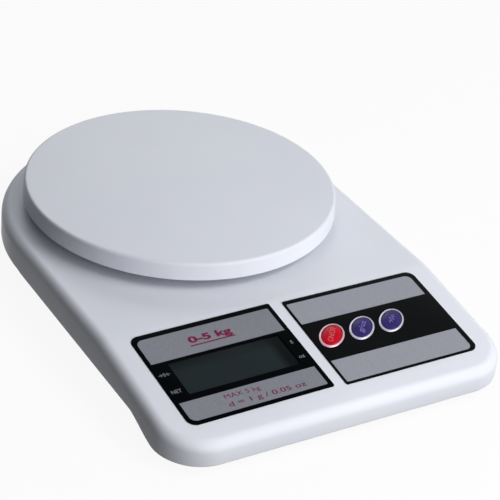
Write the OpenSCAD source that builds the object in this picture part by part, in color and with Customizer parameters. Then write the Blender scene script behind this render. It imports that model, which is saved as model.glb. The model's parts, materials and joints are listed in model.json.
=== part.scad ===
// Digital kitchen scale: a D-shaped housing with a round weighing pan over its back
// and a display panel that slopes down at its front. All sizes are in millimetres.
// X is the width, +Y is the back, +Z is up. The origin is on the table, under the
// middle of the housing. The inside holds a beam load cell, a board with a display
// and three keys, and two AA cells.

/* [Housing] */
// Width of the housing, which is also the diameter of its round back
body_w = 170; // [168:1:180]
// Distance from the fold to the pan's axis, which sets the housing's length
fold_to_pan = 88.3; // [84:0.1:98]
// Height of the level top above the table
body_top = 24.5; // [24.5:0.25:27]
// Wall of the upper housing
wall = 2.2; // [1.8:0.1:2.3]
// Radius of the two front corners, seen from above
corner_r = 21.2; // [18:0.2:25]
// Rounding of the top edge
edge_r = 4.8; // [4:0.2:5.6]
// Length of the sloping display panel, front to fold
panel_l = 71.4; // [69:0.2:76]
// Slope of the display panel, in degrees
panel_tilt = 7.45; // [6.5:0.05:8]
// Radius of the fold between the level top and the display panel
fold_r = 30; // [20:1:34]
// Height of the skirt's lower edge above the table, at the sides and the back
side_lift = 9.8; // [8.5:0.1:11]
// Height of the skirt's lower edge above the table, at the front
front_lift = 4; // [3.6:0.1:5]
// Distance from the front at which the skirt begins to reach lower
skirt_start = 45.5; // [40:0.5:52]
// Distance from the front at which the skirt is at its lowest
skirt_end = 18.7; // [14:0.1:26]
// Rounding of the skirt's lower edge
lip_r = 0.9; // [0.5:0.1:1.2]

/* [Base tray] */
// Height of the rubber feet below the tray
foot_h = 2.6; // [2.2:0.1:3]
// Thickness of the tray's floor and wall
tray_t = 2; // [1.8:0.1:2.2]
// Rounding of the tray's lower edge
tray_r = 5; // [4:0.2:6]
// Gap between the tray and the upper housing's skirt
fit_gap = 0.3; // [0.2:0.05:0.4]
// How far the tray's wall stands up behind the skirt
tray_lip = 3; // [2:0.5:4]
// Radius of a rubber foot
foot_r = 7; // [5:0.5:8]
// Depth of the seat that a rubber foot is glued in
foot_seat = 1; // [0.6:0.1:1.2]

/* [Weighing pan] */
// Radius of the pan at its top edge
pan_r = 74; // [72:0.5:76]
// Height of the pan, rim to top
pan_h = 8.5; // [8:0.25:10]
// Gap between the pan's rim and the housing
pan_gap = 5; // [4.5:0.25:7]
// Thickness of the pan's top and skirt
pan_t = 2; // [1.6:0.1:2.4]
// Rounding of the pan's top edge
pan_edge_r = 1.5; // [1:0.1:2]
// How much wider the pan is at its rim than at its top
pan_draft = 0.5; // [0.2:0.1:1]
// Distance from the back of the housing to the pan's axis
pan_setback = 82.8; // [78:0.2:88]
// How far the pan sinks under a full load
pan_travel = 0.6; // [0.4:0.05:0.8]

/* [Pan carrier] */
// Thickness of the carrier's plate
carrier_t = 2.6; // [2.2:0.1:3]
// Gap between the carrier's plate and the housing
carrier_gap = 1.2; // [1:0.1:1.6]
// Radius at which the carrier's four posts stand
post_ring = 44; // [38:1:50]
// Radius of a carrier post
post_r = 4.5; // [4:0.25:5.5]
// Radius of the peg on a post
peg_r = 2; // [1.5:0.1:2.5]
// Height of the socket bosses under the pan
socket_h = 3; // [2.5:0.25:3.5]

/* [Load cell] */
// Length of the aluminium beam
beam_l = 75; // [74:1:78]
// Width and height of the beam
beam_s = 12.7; // [11.5:0.1:12.7]
// Radius of the two flexure holes
flexure_r = 4.8; // [4:0.1:5]
// Distance of each flexure hole from the beam's middle
flexure_x = 8; // [7:0.25:9]
// Height of the pedestal under the fixed end, above the tray's floor
pedestal_h = 1.4; // [1.2:0.1:1.6]
// Thickness of the steel spacer on the pedestal
spacer_t = 1; // [0.8:0.1:1.2]
// Radius of the beam's screws
beam_screw_r = 1.95; // [1.5:0.05:2.1]
// Distance of the outer screw from the beam's end
beam_screw_end = 5.5; // [5:0.25:6.5]
// Distance between a beam end's two screws
beam_screw_pitch = 14; // [12:0.5:14]

/* [Batteries] */
// Diameter of one AA cell
battery_d = 14.5; // [13.8:0.1:14.7]
// Length of one AA cell, with its contact nub
battery_l = 50.5; // [49:0.5:51]
// Room for a contact spring at the end of a cell
spring_room = 5.2; // [4.5:0.1:6]
// Thickness of the contact plates
plate_t = 0.4; // [0.3:0.05:0.5]
// Wall of the battery bay
bay_wall = 1.5; // [1.2:0.1:1.8]
// Gap between the battery door's hinge axis and the load cell
hinge_clear = 7.95; // [7:0.05:9]
// Thickness of the battery door
door_t = 1.8; // [1.5:0.1:1.9]
// Gap round the battery door
door_gap = 0.3; // [0.2:0.05:0.4]
// How far the door reaches past the bay on each side
door_ledge = 1.2; // [1:0.1:1.3]

/* [Display and keys] */
// Width of the display film
display_w = 69.8; // [66:0.2:71]
// Depth of both films, along the slope
film_d = 56.4; // [54:0.2:58]
// Thickness of both films
film_t = 0.4; // [0.3:0.05:0.5]
// How far the display film was stuck out of square, in degrees
display_turn = 0.8; // [0:0.1:1]
// Distance from the fold to the display film's upper edge
display_drop = 2.45; // [2.2:0.05:3]
// Width of the keypad film
keypad_w = 69.7; // [66:0.1:71]
// Distance from the fold to the keypad film's upper edge
keypad_drop = 3.1; // [2.2:0.1:4]
// Gap between the middle of the housing and each film
film_gap = 2.8; // [2:0.1:4]
// Width of the display window
window_w = 54.4; // [50:0.2:55]
// Depth of the display window, along the slope
window_d = 19.9; // [18:0.1:21]
// Distance from the display film's outer edge to the window
window_side = 8.7; // [8.4:0.1:10]
// Distance from the display film's upper edge to the window
window_drop = 19.5; // [19:0.1:21]
// Width of the lens beyond the window, on each side
lens_lap = 1.5; // [1:0.1:2]
// Thickness of the lens
lens_t = 1.2; // [1:0.1:1.4]
// Length of an oval key
key_l = 14.1; // [12:0.1:14.4]
// Width of an oval key
key_w = 8.6; // [7:0.1:9.4]
// How far the keys are turned on the slope, in degrees
key_turn = 42; // [35:1:50]
// Distance from the middle of the housing to the first key
first_key = 13; // [12.5:0.1:14]
// Distance between two keys
key_pitch = 15.7; // [15:0.1:16.2]
// Distance from the keypad film's upper edge to the keys
key_drop = 27.1; // [26:0.1:28.5]
// Height of a key ring above the film
ring_h = 0.7; // [0.6:0.1:1.2]
// Width of a key ring at the key's ends
ring_end_w = 1.2; // [0.9:0.05:1.4]
// Width of a key ring at the key's sides
ring_side_w = 0.95; // [0.8:0.05:1.2]
// How far a key travels when it is pressed
key_travel = 0.5; // [0.3:0.05:0.6]

/* [Circuit board] */
// Depth of the board's upper face under the display panel's surface
board_drop = 8; // [7.8:0.1:8.4]
// Thickness of the board
board_t = 1.6; // [1.2:0.1:1.6]
// Distance from the fold to the board's upper edge
board_v = 7.5; // [6:0.5:9]
// Depth of the board, along the slope
board_d = 48.5; // [48:0.5:50]
// Distance from the housing's left side to the board
board_in_left = 15; // [12:0.5:15]
// Distance from the housing's right side to the board
board_in_right = 26; // [19:0.5:27]
// Thickness of the display glass
glass_t = 2.2; // [1.8:0.1:2.4]

/* [Hidden] */
$fn = 48;
// Small overlap that makes cuts run through a face
cut = 1;
// Reach of the shapes that only the other shapes trim
far = 400;

// Places along Y
body_l = panel_l + fold_to_pan + pan_setback;
front_y = -body_l / 2;
back_y = body_l / 2;
back_centre_y = back_y - body_w / 2;
pan_y = back_y - pan_setback;
fold_y = front_y + panel_l;
fold_start = fold_y + fold_r * tan(panel_tilt / 2);
// Steps that the housing's round stretches are made in
back_steps = 24;
fold_steps = 4;
skirt_steps = 8;
corner_steps = 9;
edge_steps = 8;
lip_steps = 3;

// Heights
floor_z = foot_h;
floor_top = floor_z + tray_t;
ceiling_z = body_top - wall;
pan_rim_z = body_top + pan_gap;
pan_top_z = pan_rim_z + pan_h;
pan_under_z = pan_top_z - pan_t;

// Base tray
tray_inset = wall + fit_gap;
tray_hw = body_w / 2 - tray_inset;
tray_corner = corner_r - tray_inset;
tray_front_y = front_y + tray_inset;
tray_top_z = side_lift + tray_lip;
// Distances of the feet from the housing's side and from its front or back
front_foot_in = [25, 33];
back_foot_in = [32, 46];
foot_spots = [
  for (s = [-1, 1]) each [
    [s * (body_w / 2 - front_foot_in[0]), front_y + front_foot_in[1]],
    [s * (body_w / 2 - back_foot_in[0]), back_y - back_foot_in[1]]
  ]
];
foot_round = 0.8;
label_w = 62;
label_d = 26;
label_t = 0.15;
label_r = 2;
label_y = 42;

// Self-tapping screws that hold the two housings together
tower_r = 3.6;
tower_z = 8;
pilot_r = 1.5;
housing_screw_r = 1.4;
housing_screw_l = 8.5;
head_r = 2.7;
head_t = 1.8;
head_room = 0.2;
// Distances of the screws from the housing's side and from its back
back_screw_in = [35, 31];
middle_screw_in = [12, 110];
front_screw_in = 9.5;
housing_spots = [
  for (s = [-1, 1]) each [
    [s * (body_w / 2 - back_screw_in[0]), back_y - back_screw_in[1]],
    [s * (body_w / 2 - middle_screw_in[0]), back_y - middle_screw_in[1]],
    [s * (body_w / 2 - front_screw_in), front_y + corner_r]
  ]
];
housing_head_z = floor_z + head_t + 2 * head_room;

// Pan carrier and its hub on the beam's free end
beam_z = floor_top + pedestal_h + spacer_t;
beam_top = beam_z + beam_s;
beam_front = pan_y - beam_l / 2;
beam_back = pan_y + beam_l / 2;
beam_hole_r = beam_screw_r + 0.05;
carrier_z = body_top + carrier_gap;
carrier_top = carrier_z + carrier_t;
hub_w = beam_s + 0.6;
hub_l = beam_screw_pitch + 2 * beam_screw_end - 1;
hub_y = beam_front + hub_l / 2;
hub_slot_gap = 3;
hub_rim = 1.5;
carrier_disc_r = 22;
carrier_hole_r = 9;
arm_w = 7;
arm_end_r = 5.5;
socket_z = pan_under_z - socket_h;
peg_top = pan_under_z - 0.4;
peg_gap = 0.05;
free_screw_ys = [beam_front + beam_screw_end, beam_front + beam_screw_end + beam_screw_pitch];
fixed_screw_ys = [beam_back - beam_screw_end, beam_back - beam_screw_end - beam_screw_pitch];
beam_head_r = 3.4;
beam_head_t = 1.9;
fixed_head_z = floor_z + beam_head_t + head_room;
beam_screw_reach = 9.5;
stop_r = 1.4;
stop_spot = [0, beam_front + beam_screw_end + beam_screw_pitch / 2];
stop_tip = beam_z - pan_travel - 0.1;
slot_h = 3.4;
sealant_t = 0.7;

// Ribs under the pan
rib_h = 2.8;
rib_t = 1.3;
rib_rings = [26, 60];
rib_count = 12;

// Battery bay
cell_gap = 0.3;
battery_r = battery_d / 2;
bay_in_l = battery_l + spring_room + 2 * plate_t;
bay_in_w = 2 * battery_d + 3 * cell_gap;
hinge_y = beam_front - hinge_clear;
hinge_reach = 3.4;
bay_y = hinge_y - hinge_reach - bay_in_w / 2;
battery_z = floor_z + door_t + cell_gap + battery_r;
bay_roof_z = battery_z + battery_r + cell_gap;
cell_offset = (battery_d + cell_gap) / 2;
nub_l = 1;
nub_r = 2.7;
nub_chamfer = 0.6;
plate_w = 11;
plate_h = 10;
tail_w = 2.5;
tail_gap = 0.2;
tail_z = battery_z + plate_h / 2 - plate_t;
tail_end = bay_in_l / 2 + bay_wall + 2.6;
function tail_y(s) = bay_y + s * cell_offset;

// Battery door and its hinge
door_l = bay_in_l + 2 * door_ledge;
door_w = bay_in_w + 2 * door_ledge;
door_bevel = 1.7;
door_shim = 0.1;
hinge_arm_in = 6;
hinge_arm_t = 1.5;
grip_r = 0.45;
grip_l = 20;
grip_pitch = 1.8;
grip_count = 4;
hinge_r = 1.5;
hinge_pin_r = 0.8;
hinge_gap = 0.06;
hinge_z = floor_z + 3.4;
hinge_x = 19;
hinge_arm_w = 5;
hinge_pin_l = 10;
lug_t = 3;
lug_h = 5.2;
notch_gap = 0.4;
latch_w = 14;
latch_t = 1.2;
latch_h = 3.2;
scoop_r = 9;

// Display film, window and display glass, in the sloping panel's own frame
display_x = -(film_gap + display_w / 2);
display_v = -(display_drop + film_d / 2);
film_corner = 4.2;
film_tight = 1;
window_x = display_x - display_w / 2 + window_side + window_w / 2;
window_v = -(display_drop + window_drop + window_d / 2);
lens_gap = 0.25;
keypad_x = film_gap + keypad_w / 2;
keypad_v = -(keypad_drop + film_d / 2);
key_v = -(keypad_drop + key_drop);
key_xs = [for (i = [0:2]) first_key + i * key_pitch];

// Keys, from the outside in, as heights over the panel's surface
key_gap = 0.25;
key_half = [key_l, key_w] / 2;
key_hole = key_half + key_gap * [1, 1];
ring_half = key_hole + [ring_end_w, ring_side_w];
ring_step = 0.2;
oval_steps = 40;
key_dome = 0.9;
key_rim_z = film_t + ring_h - 0.2;
key_flange_t = 1;
key_flange = key_half + 1.3 * [1, 1];
key_flange_z = -wall - 0.1;
stem_r = 1.7;
stem_gap = 0.05;
switch_s = 6;
switch_h = 3.3;
switch_top = -board_drop + switch_h;
stem_top = key_flange_z - key_flange_t - 0.3;
stem_l = 1.6;
plunger_r = 2.2;

// Display glass, frame and zebra strips
glass_w = window_w + 7;
glass_d = window_d + 8;
glass_top = -wall - 0.2;
frame_wall = 1.6;
frame_gap = 0.3;
zebra_w = 2;
zebra_in = 0.6;
zebra_inset = 3;

// Board and its bosses
board_left = body_w / 2 - board_in_left;
board_right = body_w / 2 - board_in_right;
board_boss_r = 2.7;
board_pilot_r = 1;
board_boss_in = 3.6;
board_screw_r = 0.9;
board_spots = [
  [-(board_left - board_boss_in), -(board_v + board_boss_in)],
  [-(board_left - board_boss_in), -(board_v + board_d - board_boss_in)],
  [board_right - board_boss_in, -(board_v + board_boss_in)],
  [board_right - board_boss_in, -(board_v + board_d - board_boss_in)]
];
board_under = -board_drop - board_t;

// Small parts on the board's underside, counted from its front edge
parts_v = -board_v - board_d;
chip_size = [2, 1.25];
resistor_h = 0.55;
resistor_pitch = [4.2, 4];
resistor_spot = [4, 8];
capacitor_h = 0.9;
capacitor_pitch = 5;
capacitor_spot = [-2, 7];
can_capacitor_r = 2.5;
can_capacitor_h = 3.6;
can_capacitor_spot = [38, 12];
crystal_size = [10, 3.8];
crystal_h = 2.4;
crystal_spot = [20, 20];
blob_r = 7;
blob_h = 1.6;
blob_side = 8;

// Routes of the leads: points chosen by hand, each tied to the pieces at its ends
lead_r = 0.65;
bundle_r = 1.1;
lead_gap = 0.3;
function under_board(y) =
  body_top + (y - fold_y) * tan(panel_tilt) + board_under / cos(panel_tilt);
bundle_end_y = fold_y - 20;
bundle_route = [
  [-beam_s / 2 - bundle_r, pan_y - 4, beam_z + 9],
  [-beam_s / 2 - bundle_r - 1, pan_y - 12, beam_z + 8],
  [-beam_s / 2 - 6, pan_y - 22, beam_z + 4],
  [-20, pan_y - 32, floor_top + 3], [-31, pan_y - 40, floor_top + 2],
  [-38, bay_y + 12, floor_top + 2], [-40, bay_y, floor_top + 2],
  [-40, bay_y - 14, floor_top + 2], [-38, bay_y - 24, floor_top + 2],
  [-34, bundle_end_y + 12, floor_top + 3],
  [-30, bundle_end_y + 6, under_board(bundle_end_y + 6) - 5],
  [-28, bundle_end_y + 2, under_board(bundle_end_y + 2) - 2.5],
  [-27, bundle_end_y, under_board(bundle_end_y) - bundle_r - lead_gap]
];
lead_x = bay_in_l / 2 + bay_wall + 1.4;
lead_z = tail_z + plate_t + lead_r;
lead_end_y = fold_y - board_v - 5;
positive_route = [
  [lead_x, tail_y(-1), lead_z], [lead_x + 1, tail_y(-1) - 6, lead_z - 1],
  [lead_x + 2, lead_end_y + 16, floor_top + 5],
  [lead_x + 2, lead_end_y + 6, floor_top + 4],
  [lead_x + 1, lead_end_y, under_board(lead_end_y) - lead_r - lead_gap]
];
negative_route = [
  [lead_x, tail_y(1), lead_z], [lead_x + 3, tail_y(1) - 8, lead_z - 1],
  [lead_x + 6, tail_y(-1) - 4, floor_top + 7],
  [lead_x + 7, lead_end_y + 12, floor_top + 4],
  [lead_x + 6, lead_end_y, under_board(lead_end_y) - lead_r - lead_gap]
];

// Shapes that are used more than once

// Rounded edge, seen in section: the axis is at x = 0 and the outside towards +x.
// major is the distance from the axis to the rounding's centre.
module edge_section(major, r, top, base) {
  translate([0, base]) square([major, top - base]);
  translate([0, base]) square([major + r, top - r - base]);
  translate([major, top - r]) circle(r);
}

// The same edge on both sides
module both_edges(major, r, top, base) {
  edge_section(major, r, top, base);
  mirror([1, 0]) edge_section(major, r, top, base);
}

// Front end of a slab: two round corners and the straight edge between them
module front_end(half_gap, major, r, top, base) {
  for (s = [-1, 1]) translate([s * half_gap, 0, 0])
    rotate_extrude() edge_section(major, r, top, base);
  translate([half_gap, 0, 0]) rotate([90, 0, -90])
    linear_extrude(height = 2 * half_gap) edge_section(major, r, top, base);
}

// Slab with a round back, straight sides and round front corners. Its top edge has the
// rounding r0, less the inset.
module rounded_slab(hw, corner, r0, inset, top, base, front) {
  r = r0 - inset;
  corner_y = front + corner;
  translate([0, back_centre_y, 0]) rotate_extrude() edge_section(hw - r0, r, top, base);
  translate([0, back_centre_y, 0]) rotate([90, 0, 0])
    linear_extrude(height = back_centre_y - corner_y) both_edges(hw - r0, r, top, base);
  translate([0, corner_y, 0]) front_end(hw - corner, corner - r0, r, top, base);
}

// Places its children in the sloping panel's frame: the origin is on the fold, x runs
// across, y up the slope and z out of the surface
module on_panel() {
  translate([0, fold_y, body_top]) rotate([panel_tilt, 0, 0]) children();
}

// Moves from the panel's frame to a key's middle, and turns to the key's length
module at_key(x) {
  translate([x, key_v, 0]) rotate(key_turn) children();
}

// Stands a Y-Z outline up and draws it out along X, centred
module along_x(length) {
  translate([-length / 2, 0, 0]) rotate([90, 0, 90])
    linear_extrude(height = length) children();
}

// Height of the housing's top surface along Y: level, then a rounded fold, then sloping
function top_z(y) =
  y >= fold_start ? body_top
  : y > fold_start - fold_r * sin(panel_tilt)
    ? body_top - fold_r + sqrt(fold_r * fold_r - (fold_start - y) * (fold_start - y))
  : body_top - (fold_y - y) * tan(panel_tilt);

// Height of a lower or upper edge that steps down towards the front
function ease(t) = t * t * (3 - 2 * t);
function step_z(y, high, low) =
  high + (low - high)
  * ease(min(1, max(0, (front_y + skirt_start - y) / (skirt_start - skirt_end))));

// Stations round the right half of the housing, back to front: each is a point on the
// wall and the direction that the wall faces there
function arc_stations(centre, r, from, to, steps) = [
  for (i = [0:steps])
    let (a = from + (to - from) * i / steps, out = [cos(a), sin(a)])
    [centre + r * out, out]
];
function side_stations(from, to, steps) = [
  for (i = [0:steps - 1]) [[body_w / 2, from + (to - from) * i / steps], [1, 0]]
];
stations = concat(
  arc_stations([0, back_centre_y], body_w / 2, 90 - 45 / back_steps, 0, back_steps),
  side_stations(fold_start, fold_start - fold_r * sin(panel_tilt), fold_steps),
  side_stations(fold_start - fold_r * sin(panel_tilt), front_y + skirt_start, 1),
  side_stations(front_y + skirt_start, front_y + corner_r, skirt_steps),
  arc_stations([body_w / 2 - corner_r, front_y + corner_r], corner_r, 0, -90, corner_steps)
);

// Where a round edge of radius r is at angle a: how far it is in from the wall, and how
// far it is from the flat face
function rounding(r, a) = [r * (1 - cos(a)), r * (1 - sin(a))];

// One loop round the housing, in from the wall by inset. The height over the lower edge
// is given as rise, or the depth under the top surface as drop.
function loop_half(side, inset, rise, drop) = [
  for (s = stations)
    let (x = s[0][0] - inset * s[1][0], y = s[0][1] - inset * s[1][1])
    [side * x, y, rise == undef ? top_z(y) - drop : step_z(y, side_lift, front_lift) + rise]
];
function loop(inset, rise, drop) =
  let (left = loop_half(-1, inset, rise, drop), n = len(stations))
  concat(loop_half(1, inset, rise, drop), [for (i = [n - 1:-1:0]) left[i]]);

// The housing's outer form: loops up its lower rounding and its upper rounding, closed
// below and above by strips from side to side
module housing_form() {
  n = len(stations);
  around = 2 * n;
  low_loops = [
    for (i = [0:lip_steps])
      let (e = rounding(lip_r, 90 - 90 * i / lip_steps)) loop(e[0], rise = e[1])
  ];
  high_loops = [
    for (i = [0:edge_steps])
      let (e = rounding(edge_r, 90 * i / edge_steps)) loop(e[0], drop = e[1])
  ];
  loops = concat(low_loops, high_loops);
  last = (len(loops) - 1) * around;
  polyhedron(
    [for (l = loops) each l],
    concat(
      [for (k = [0:len(loops) - 2], i = [0:around - 1])
        let (a = k * around, m = (i + 1) % around)
        [a + i, a + m, a + around + m, a + around + i]],
      [for (i = [0:n - 2]) [i, around - 1 - i, around - 2 - i, i + 1]],
      [for (i = [0:n - 2])
        [last + i, last + i + 1, last + around - 2 - i, last + around - 1 - i]]
    ),
    convexity = 6
  );
}

// Plan of the housing, in from its wall by inset
module plan(inset) {
  hw = body_w / 2 - inset;
  r = corner_r - inset;
  translate([0, back_centre_y]) circle(hw);
  translate([-hw, front_y + corner_r]) square([2 * hw, back_centre_y - front_y - corner_r]);
  translate([-(hw - r), front_y + inset]) square([2 * (hw - r), corner_r]);
  for (s = [-1, 1]) translate([s * (hw - r), front_y + corner_r]) circle(r);
}

// Everything that is deeper than depth under the housing's top surface
module below_top(depth) {
  down = depth / cos(panel_tilt);
  along_x(body_w) polygon([
    [back_y + cut, -far], [back_y + cut, body_top - depth], [fold_y, body_top - depth],
    [front_y - cut, body_top - down - (fold_y - front_y + cut) * tan(panel_tilt)],
    [front_y - cut, -far]
  ]);
}

module housing_hollow() {
  intersection() {
    translate([0, 0, -cut]) linear_extrude(height = body_top) plan(wall);
    below_top(wall);
  }
}

module tray_solid(inset, top) {
  mirror([0, 0, 1])
    rounded_slab(tray_hw, tray_corner, tray_r, inset, -(floor_z + inset), -top,
      tray_front_y);
}

// Everything over the tray's upper edge, which steps down as the skirt does
module tray_top_cut() {
  along_x(body_w + 2 * cut) polygon(concat(
    [[back_y + cut, far], [back_y + cut, side_lift + tray_lip]],
    [for (i = [0:skirt_steps])
      let (y = front_y + skirt_start + (skirt_end - skirt_start) * i / skirt_steps)
      [y, step_z(y, side_lift, front_lift) + tray_lip]],
    [[front_y - cut, front_lift + tray_lip], [front_y - cut, far]]
  ));
}

// Block from its lowest corner to its highest
module box(low, high) {
  translate(low) cube(high - low);
}

// Upright round bar between two heights
module post(r, low, high) {
  translate([0, 0, low]) cylinder(r = r, h = high - low);
}

// Upright oval bar between two heights, with its half axes along X and Y
module oval_post(half, low, high) {
  translate([0, 0, low]) linear_extrude(height = high - low)
    polygon([for (i = [0:oval_steps - 1])
      [half[0] * cos(360 * i / oval_steps), half[1] * sin(360 * i / oval_steps)]]);
}

// Right half of a plate outline with round corners
module film_half(w, d, r) {
  translate([0, -d / 2]) square([w / 2 - r, d]);
  translate([0, r - d / 2]) square([w / 2, d - 2 * r]);
  for (s = [-1, 1]) translate([w / 2 - r, s * (d / 2 - r)]) circle(r);
}

// Plate outline whose left and right corners have their own radii
module film_outline(w, d, left_r, right_r) {
  film_half(w, d, right_r);
  mirror([1, 0]) film_half(w, d, left_r);
}

// Pan-head screw that points up, with its head's seat at z = 0
module screw_up(r, length, cap_r, cap_t) {
  slot = cap_r / 4;
  difference() {
    union() {
      post(r, 0, length);
      post(cap_r, -cap_t, 0);
    }
    for (a = [0, 90]) rotate(a)
      box([-cap_r / 2, -slot / 2, -cap_t - cut], [cap_r / 2, slot / 2, -cap_t / 2]);
  }
}

// Tube swept along a route: one ring of points at each route point
function unit(v) = v / norm(v);
function heading(route, i) =
  i == 0 ? unit(route[1] - route[0])
  : i == len(route) - 1 ? unit(route[i] - route[i - 1])
  : unit(unit(route[i + 1] - route[i]) + unit(route[i] - route[i - 1]));
function ring(centre, dir, r, sides) =
  let (a = unit(cross(dir, abs(dir[2]) < 0.9 ? [0, 0, 1] : [1, 0, 0])), b = cross(dir, a))
  [for (k = [0:sides - 1]) centre + r * (cos(360 * k / sides) * a + sin(360 * k / sides) * b)];

module tube(route, r, sides = 8) {
  last = len(route) - 1;
  points = [for (i = [0:last]) each ring(route[i], heading(route, i), r, sides)];
  walls = [
    for (i = [0:last - 1], k = [0:sides - 1])
      let (n = (k + 1) % sides)
      [i * sides + k, i * sides + n, (i + 1) * sides + n, (i + 1) * sides + k]
  ];
  ends = [
    [for (k = [sides - 1:-1:0]) k],
    [for (k = [0:sides - 1]) last * sides + k]
  ];
  polyhedron(points, concat(walls, ends), convexity = 4);
}

// Smooth route through hand-chosen points: each stretch bends as its neighbours do
function blend(p, t) =
  0.5 * (2 * p[1] + (p[2] - p[0]) * t + (2 * p[0] - 5 * p[1] + 4 * p[2] - p[3]) * t * t
  + (3 * p[1] - p[0] - 3 * p[2] + p[3]) * t * t * t);
function smooth(points, steps = 3) =
  let (n = len(points))
  concat(
    [for (i = [0:n - 2], s = [0:steps - 1])
      blend([points[max(i - 1, 0)], points[i], points[i + 1], points[min(i + 2, n - 1)]],
        s / steps)],
    [points[n - 1]]
  );

// Housing

module housing_bosses() {
  intersection() {
    for (p = housing_spots) translate(p) post(tower_r, tower_z, body_top);
    below_top(wall / 2);
  }
  on_panel() for (p = board_spots) translate(p)
    post(board_boss_r, -board_drop, -wall / 2);
}

module display_opening() {
  on_panel() translate([window_x, window_v, 0]) {
    translate([0, 0, -wall - cut]) linear_extrude(height = wall + 2 * cut)
      square([window_w, window_d], center = true);
    translate([0, 0, -lens_t]) linear_extrude(height = lens_t + cut)
      square([window_w, window_d] + 2 * (lens_lap + lens_gap) * [1, 1], center = true);
  }
}

module hub_slot() {
  half = hub_w / 2 + hub_slot_gap;
  reach = hub_l / 2 + hub_slot_gap - half;
  translate([0, hub_y, 0]) {
    for (s = [-1, 1]) translate([0, s * reach, 0]) post(half, ceiling_z - cut, body_top + cut);
    box([-half, -reach, ceiling_z - cut], [half, reach, body_top + cut]);
  }
}

module upper_housing() {
  color("white") difference() {
    union() {
      difference() {
        housing_form();
        housing_hollow();
      }
      housing_bosses();
    }
    for (p = housing_spots) translate(p)
      post(pilot_r, tower_z - cut, housing_head_z + housing_screw_l + 0.5);
    on_panel() {
      for (p = board_spots) translate(p) post(board_pilot_r, -board_drop - cut, -wall);
      for (x = key_xs) at_key(x) oval_post(key_hole, -wall - cut, cut);
    }
    display_opening();
    hub_slot();
  }
}

module battery_bay() {
  half_l = bay_in_l / 2 + bay_wall;
  half_w = bay_in_w / 2 + bay_wall;
  translate([0, bay_y, 0])
    box([-half_l, -half_w, floor_z], [half_l, half_w, bay_roof_z + bay_wall]);
  for (s = [-1, 1], side = [-1, 1])
    box(
      [s * hinge_x + side * (hinge_arm_w / 2 + notch_gap + lug_t / 2) - lug_t / 2,
       bay_y + bay_in_w / 2, floor_z],
      [s * hinge_x + side * (hinge_arm_w / 2 + notch_gap + lug_t / 2) + lug_t / 2,
       hinge_y + hinge_r + 0.5, floor_z + lug_h + 1]
    );
}

module bay_hollow() {
  translate([0, bay_y, 0]) {
    box([-bay_in_l / 2, -bay_in_w / 2, floor_z - cut], [bay_in_l / 2, bay_in_w / 2, bay_roof_z]);
    box([-door_l / 2, -door_w / 2, floor_z - cut], [door_l / 2, door_w / 2, floor_z + door_t]);
    translate([0, -door_w / 2, 0]) post(scoop_r, floor_z - cut, floor_z + door_t / 2);
  }
  for (s = [-1, 1]) {
    box(
      [s * hinge_x - hinge_arm_w / 2 - notch_gap, bay_y, floor_z - cut],
      [s * hinge_x + hinge_arm_w / 2 + notch_gap, hinge_y + hinge_r + 1, floor_z + lug_h]
    );
    translate([s * hinge_x - hinge_pin_l / 2 - notch_gap, hinge_y, hinge_z])
      rotate([0, 90, 0]) cylinder(r = hinge_pin_r + hinge_gap, h = hinge_pin_l + 2 * notch_gap);
  }
  // Slots that the solder tails of the contacts pass through
  for (s = [-1, 1])
    box(
      [bay_in_l / 2 - cut, tail_y(s) - tail_w / 2 - tail_gap, tail_z - tail_gap],
      [tail_end, tail_y(s) + tail_w / 2 + tail_gap, tail_z + plate_t + tail_gap]
    );
}

module lower_housing() {
  color("whitesmoke") difference() {
    union() {
      difference() {
        tray_solid(0, tray_top_z);
        tray_solid(tray_t, tray_top_z + cut);
        tray_top_cut();
      }
      battery_bay();
      for (p = housing_spots) translate(p) post(tower_r, floor_z + tray_t / 2, tower_z);
      box([-beam_s / 2 - 2, fixed_screw_ys[1] - 5, floor_z + tray_t / 2],
        [beam_s / 2 + 2, beam_back + 2, floor_top + pedestal_h]);
      translate(stop_spot) post(stop_r + 2.2, floor_z + tray_t / 2, floor_top + 0.6);
    }
    bay_hollow();
    for (p = housing_spots) translate(p) {
      post(head_r + head_room, floor_z - cut, housing_head_z);
      post(pilot_r + 0.1, floor_z, tower_z + cut);
    }
    for (y = fixed_screw_ys) translate([0, y, 0]) {
      post(beam_head_r + head_room, floor_z - cut, fixed_head_z);
      post(beam_screw_r + 0.3, floor_z, beam_z);
    }
    translate(stop_spot) post(stop_r + 0.05, floor_z - cut, beam_z);
    for (p = foot_spots) translate(p) post(foot_r + 0.2, floor_z - cut, floor_z + foot_seat);
  }
}

module battery_door() {
  half_l = door_l / 2 - door_gap;
  rear_y = door_w / 2 - door_gap;
  top = floor_z + door_t - door_shim;
  color("white") {
    difference() {
      union() {
        translate([0, bay_y, 0]) along_x(2 * half_l) polygon([
          [-rear_y, floor_z], [rear_y, floor_z],
          [rear_y - door_bevel, top], [-rear_y, top]
        ]);
        for (s = [-1, 1]) {
          box([s * hinge_x - hinge_arm_w / 2, hinge_y - hinge_arm_in, top - door_shim],
            [s * hinge_x + hinge_arm_w / 2, hinge_y, top - door_shim + hinge_arm_t]);
          translate([s * hinge_x - hinge_arm_w / 2, hinge_y, hinge_z])
            rotate([0, 90, 0]) cylinder(r = hinge_r, h = hinge_arm_w);
          translate([s * hinge_x - hinge_pin_l / 2, hinge_y, hinge_z])
            rotate([0, 90, 0]) cylinder(r = hinge_pin_r, h = hinge_pin_l);
        }
        translate([0, bay_y - bay_in_w / 2 + cell_gap / 2, 0])
          box([-latch_w / 2, 0, floor_z + door_t / 2], [latch_w / 2, latch_t, top + latch_h]);
      }
      // Grip grooves across the latch end
      for (i = [1:grip_count]) translate([0, bay_y - rear_y + grip_pitch * i, floor_z])
        rotate([0, 90, 0]) cylinder(r = grip_r, h = grip_l, center = true);
    }
  }
}

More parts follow.
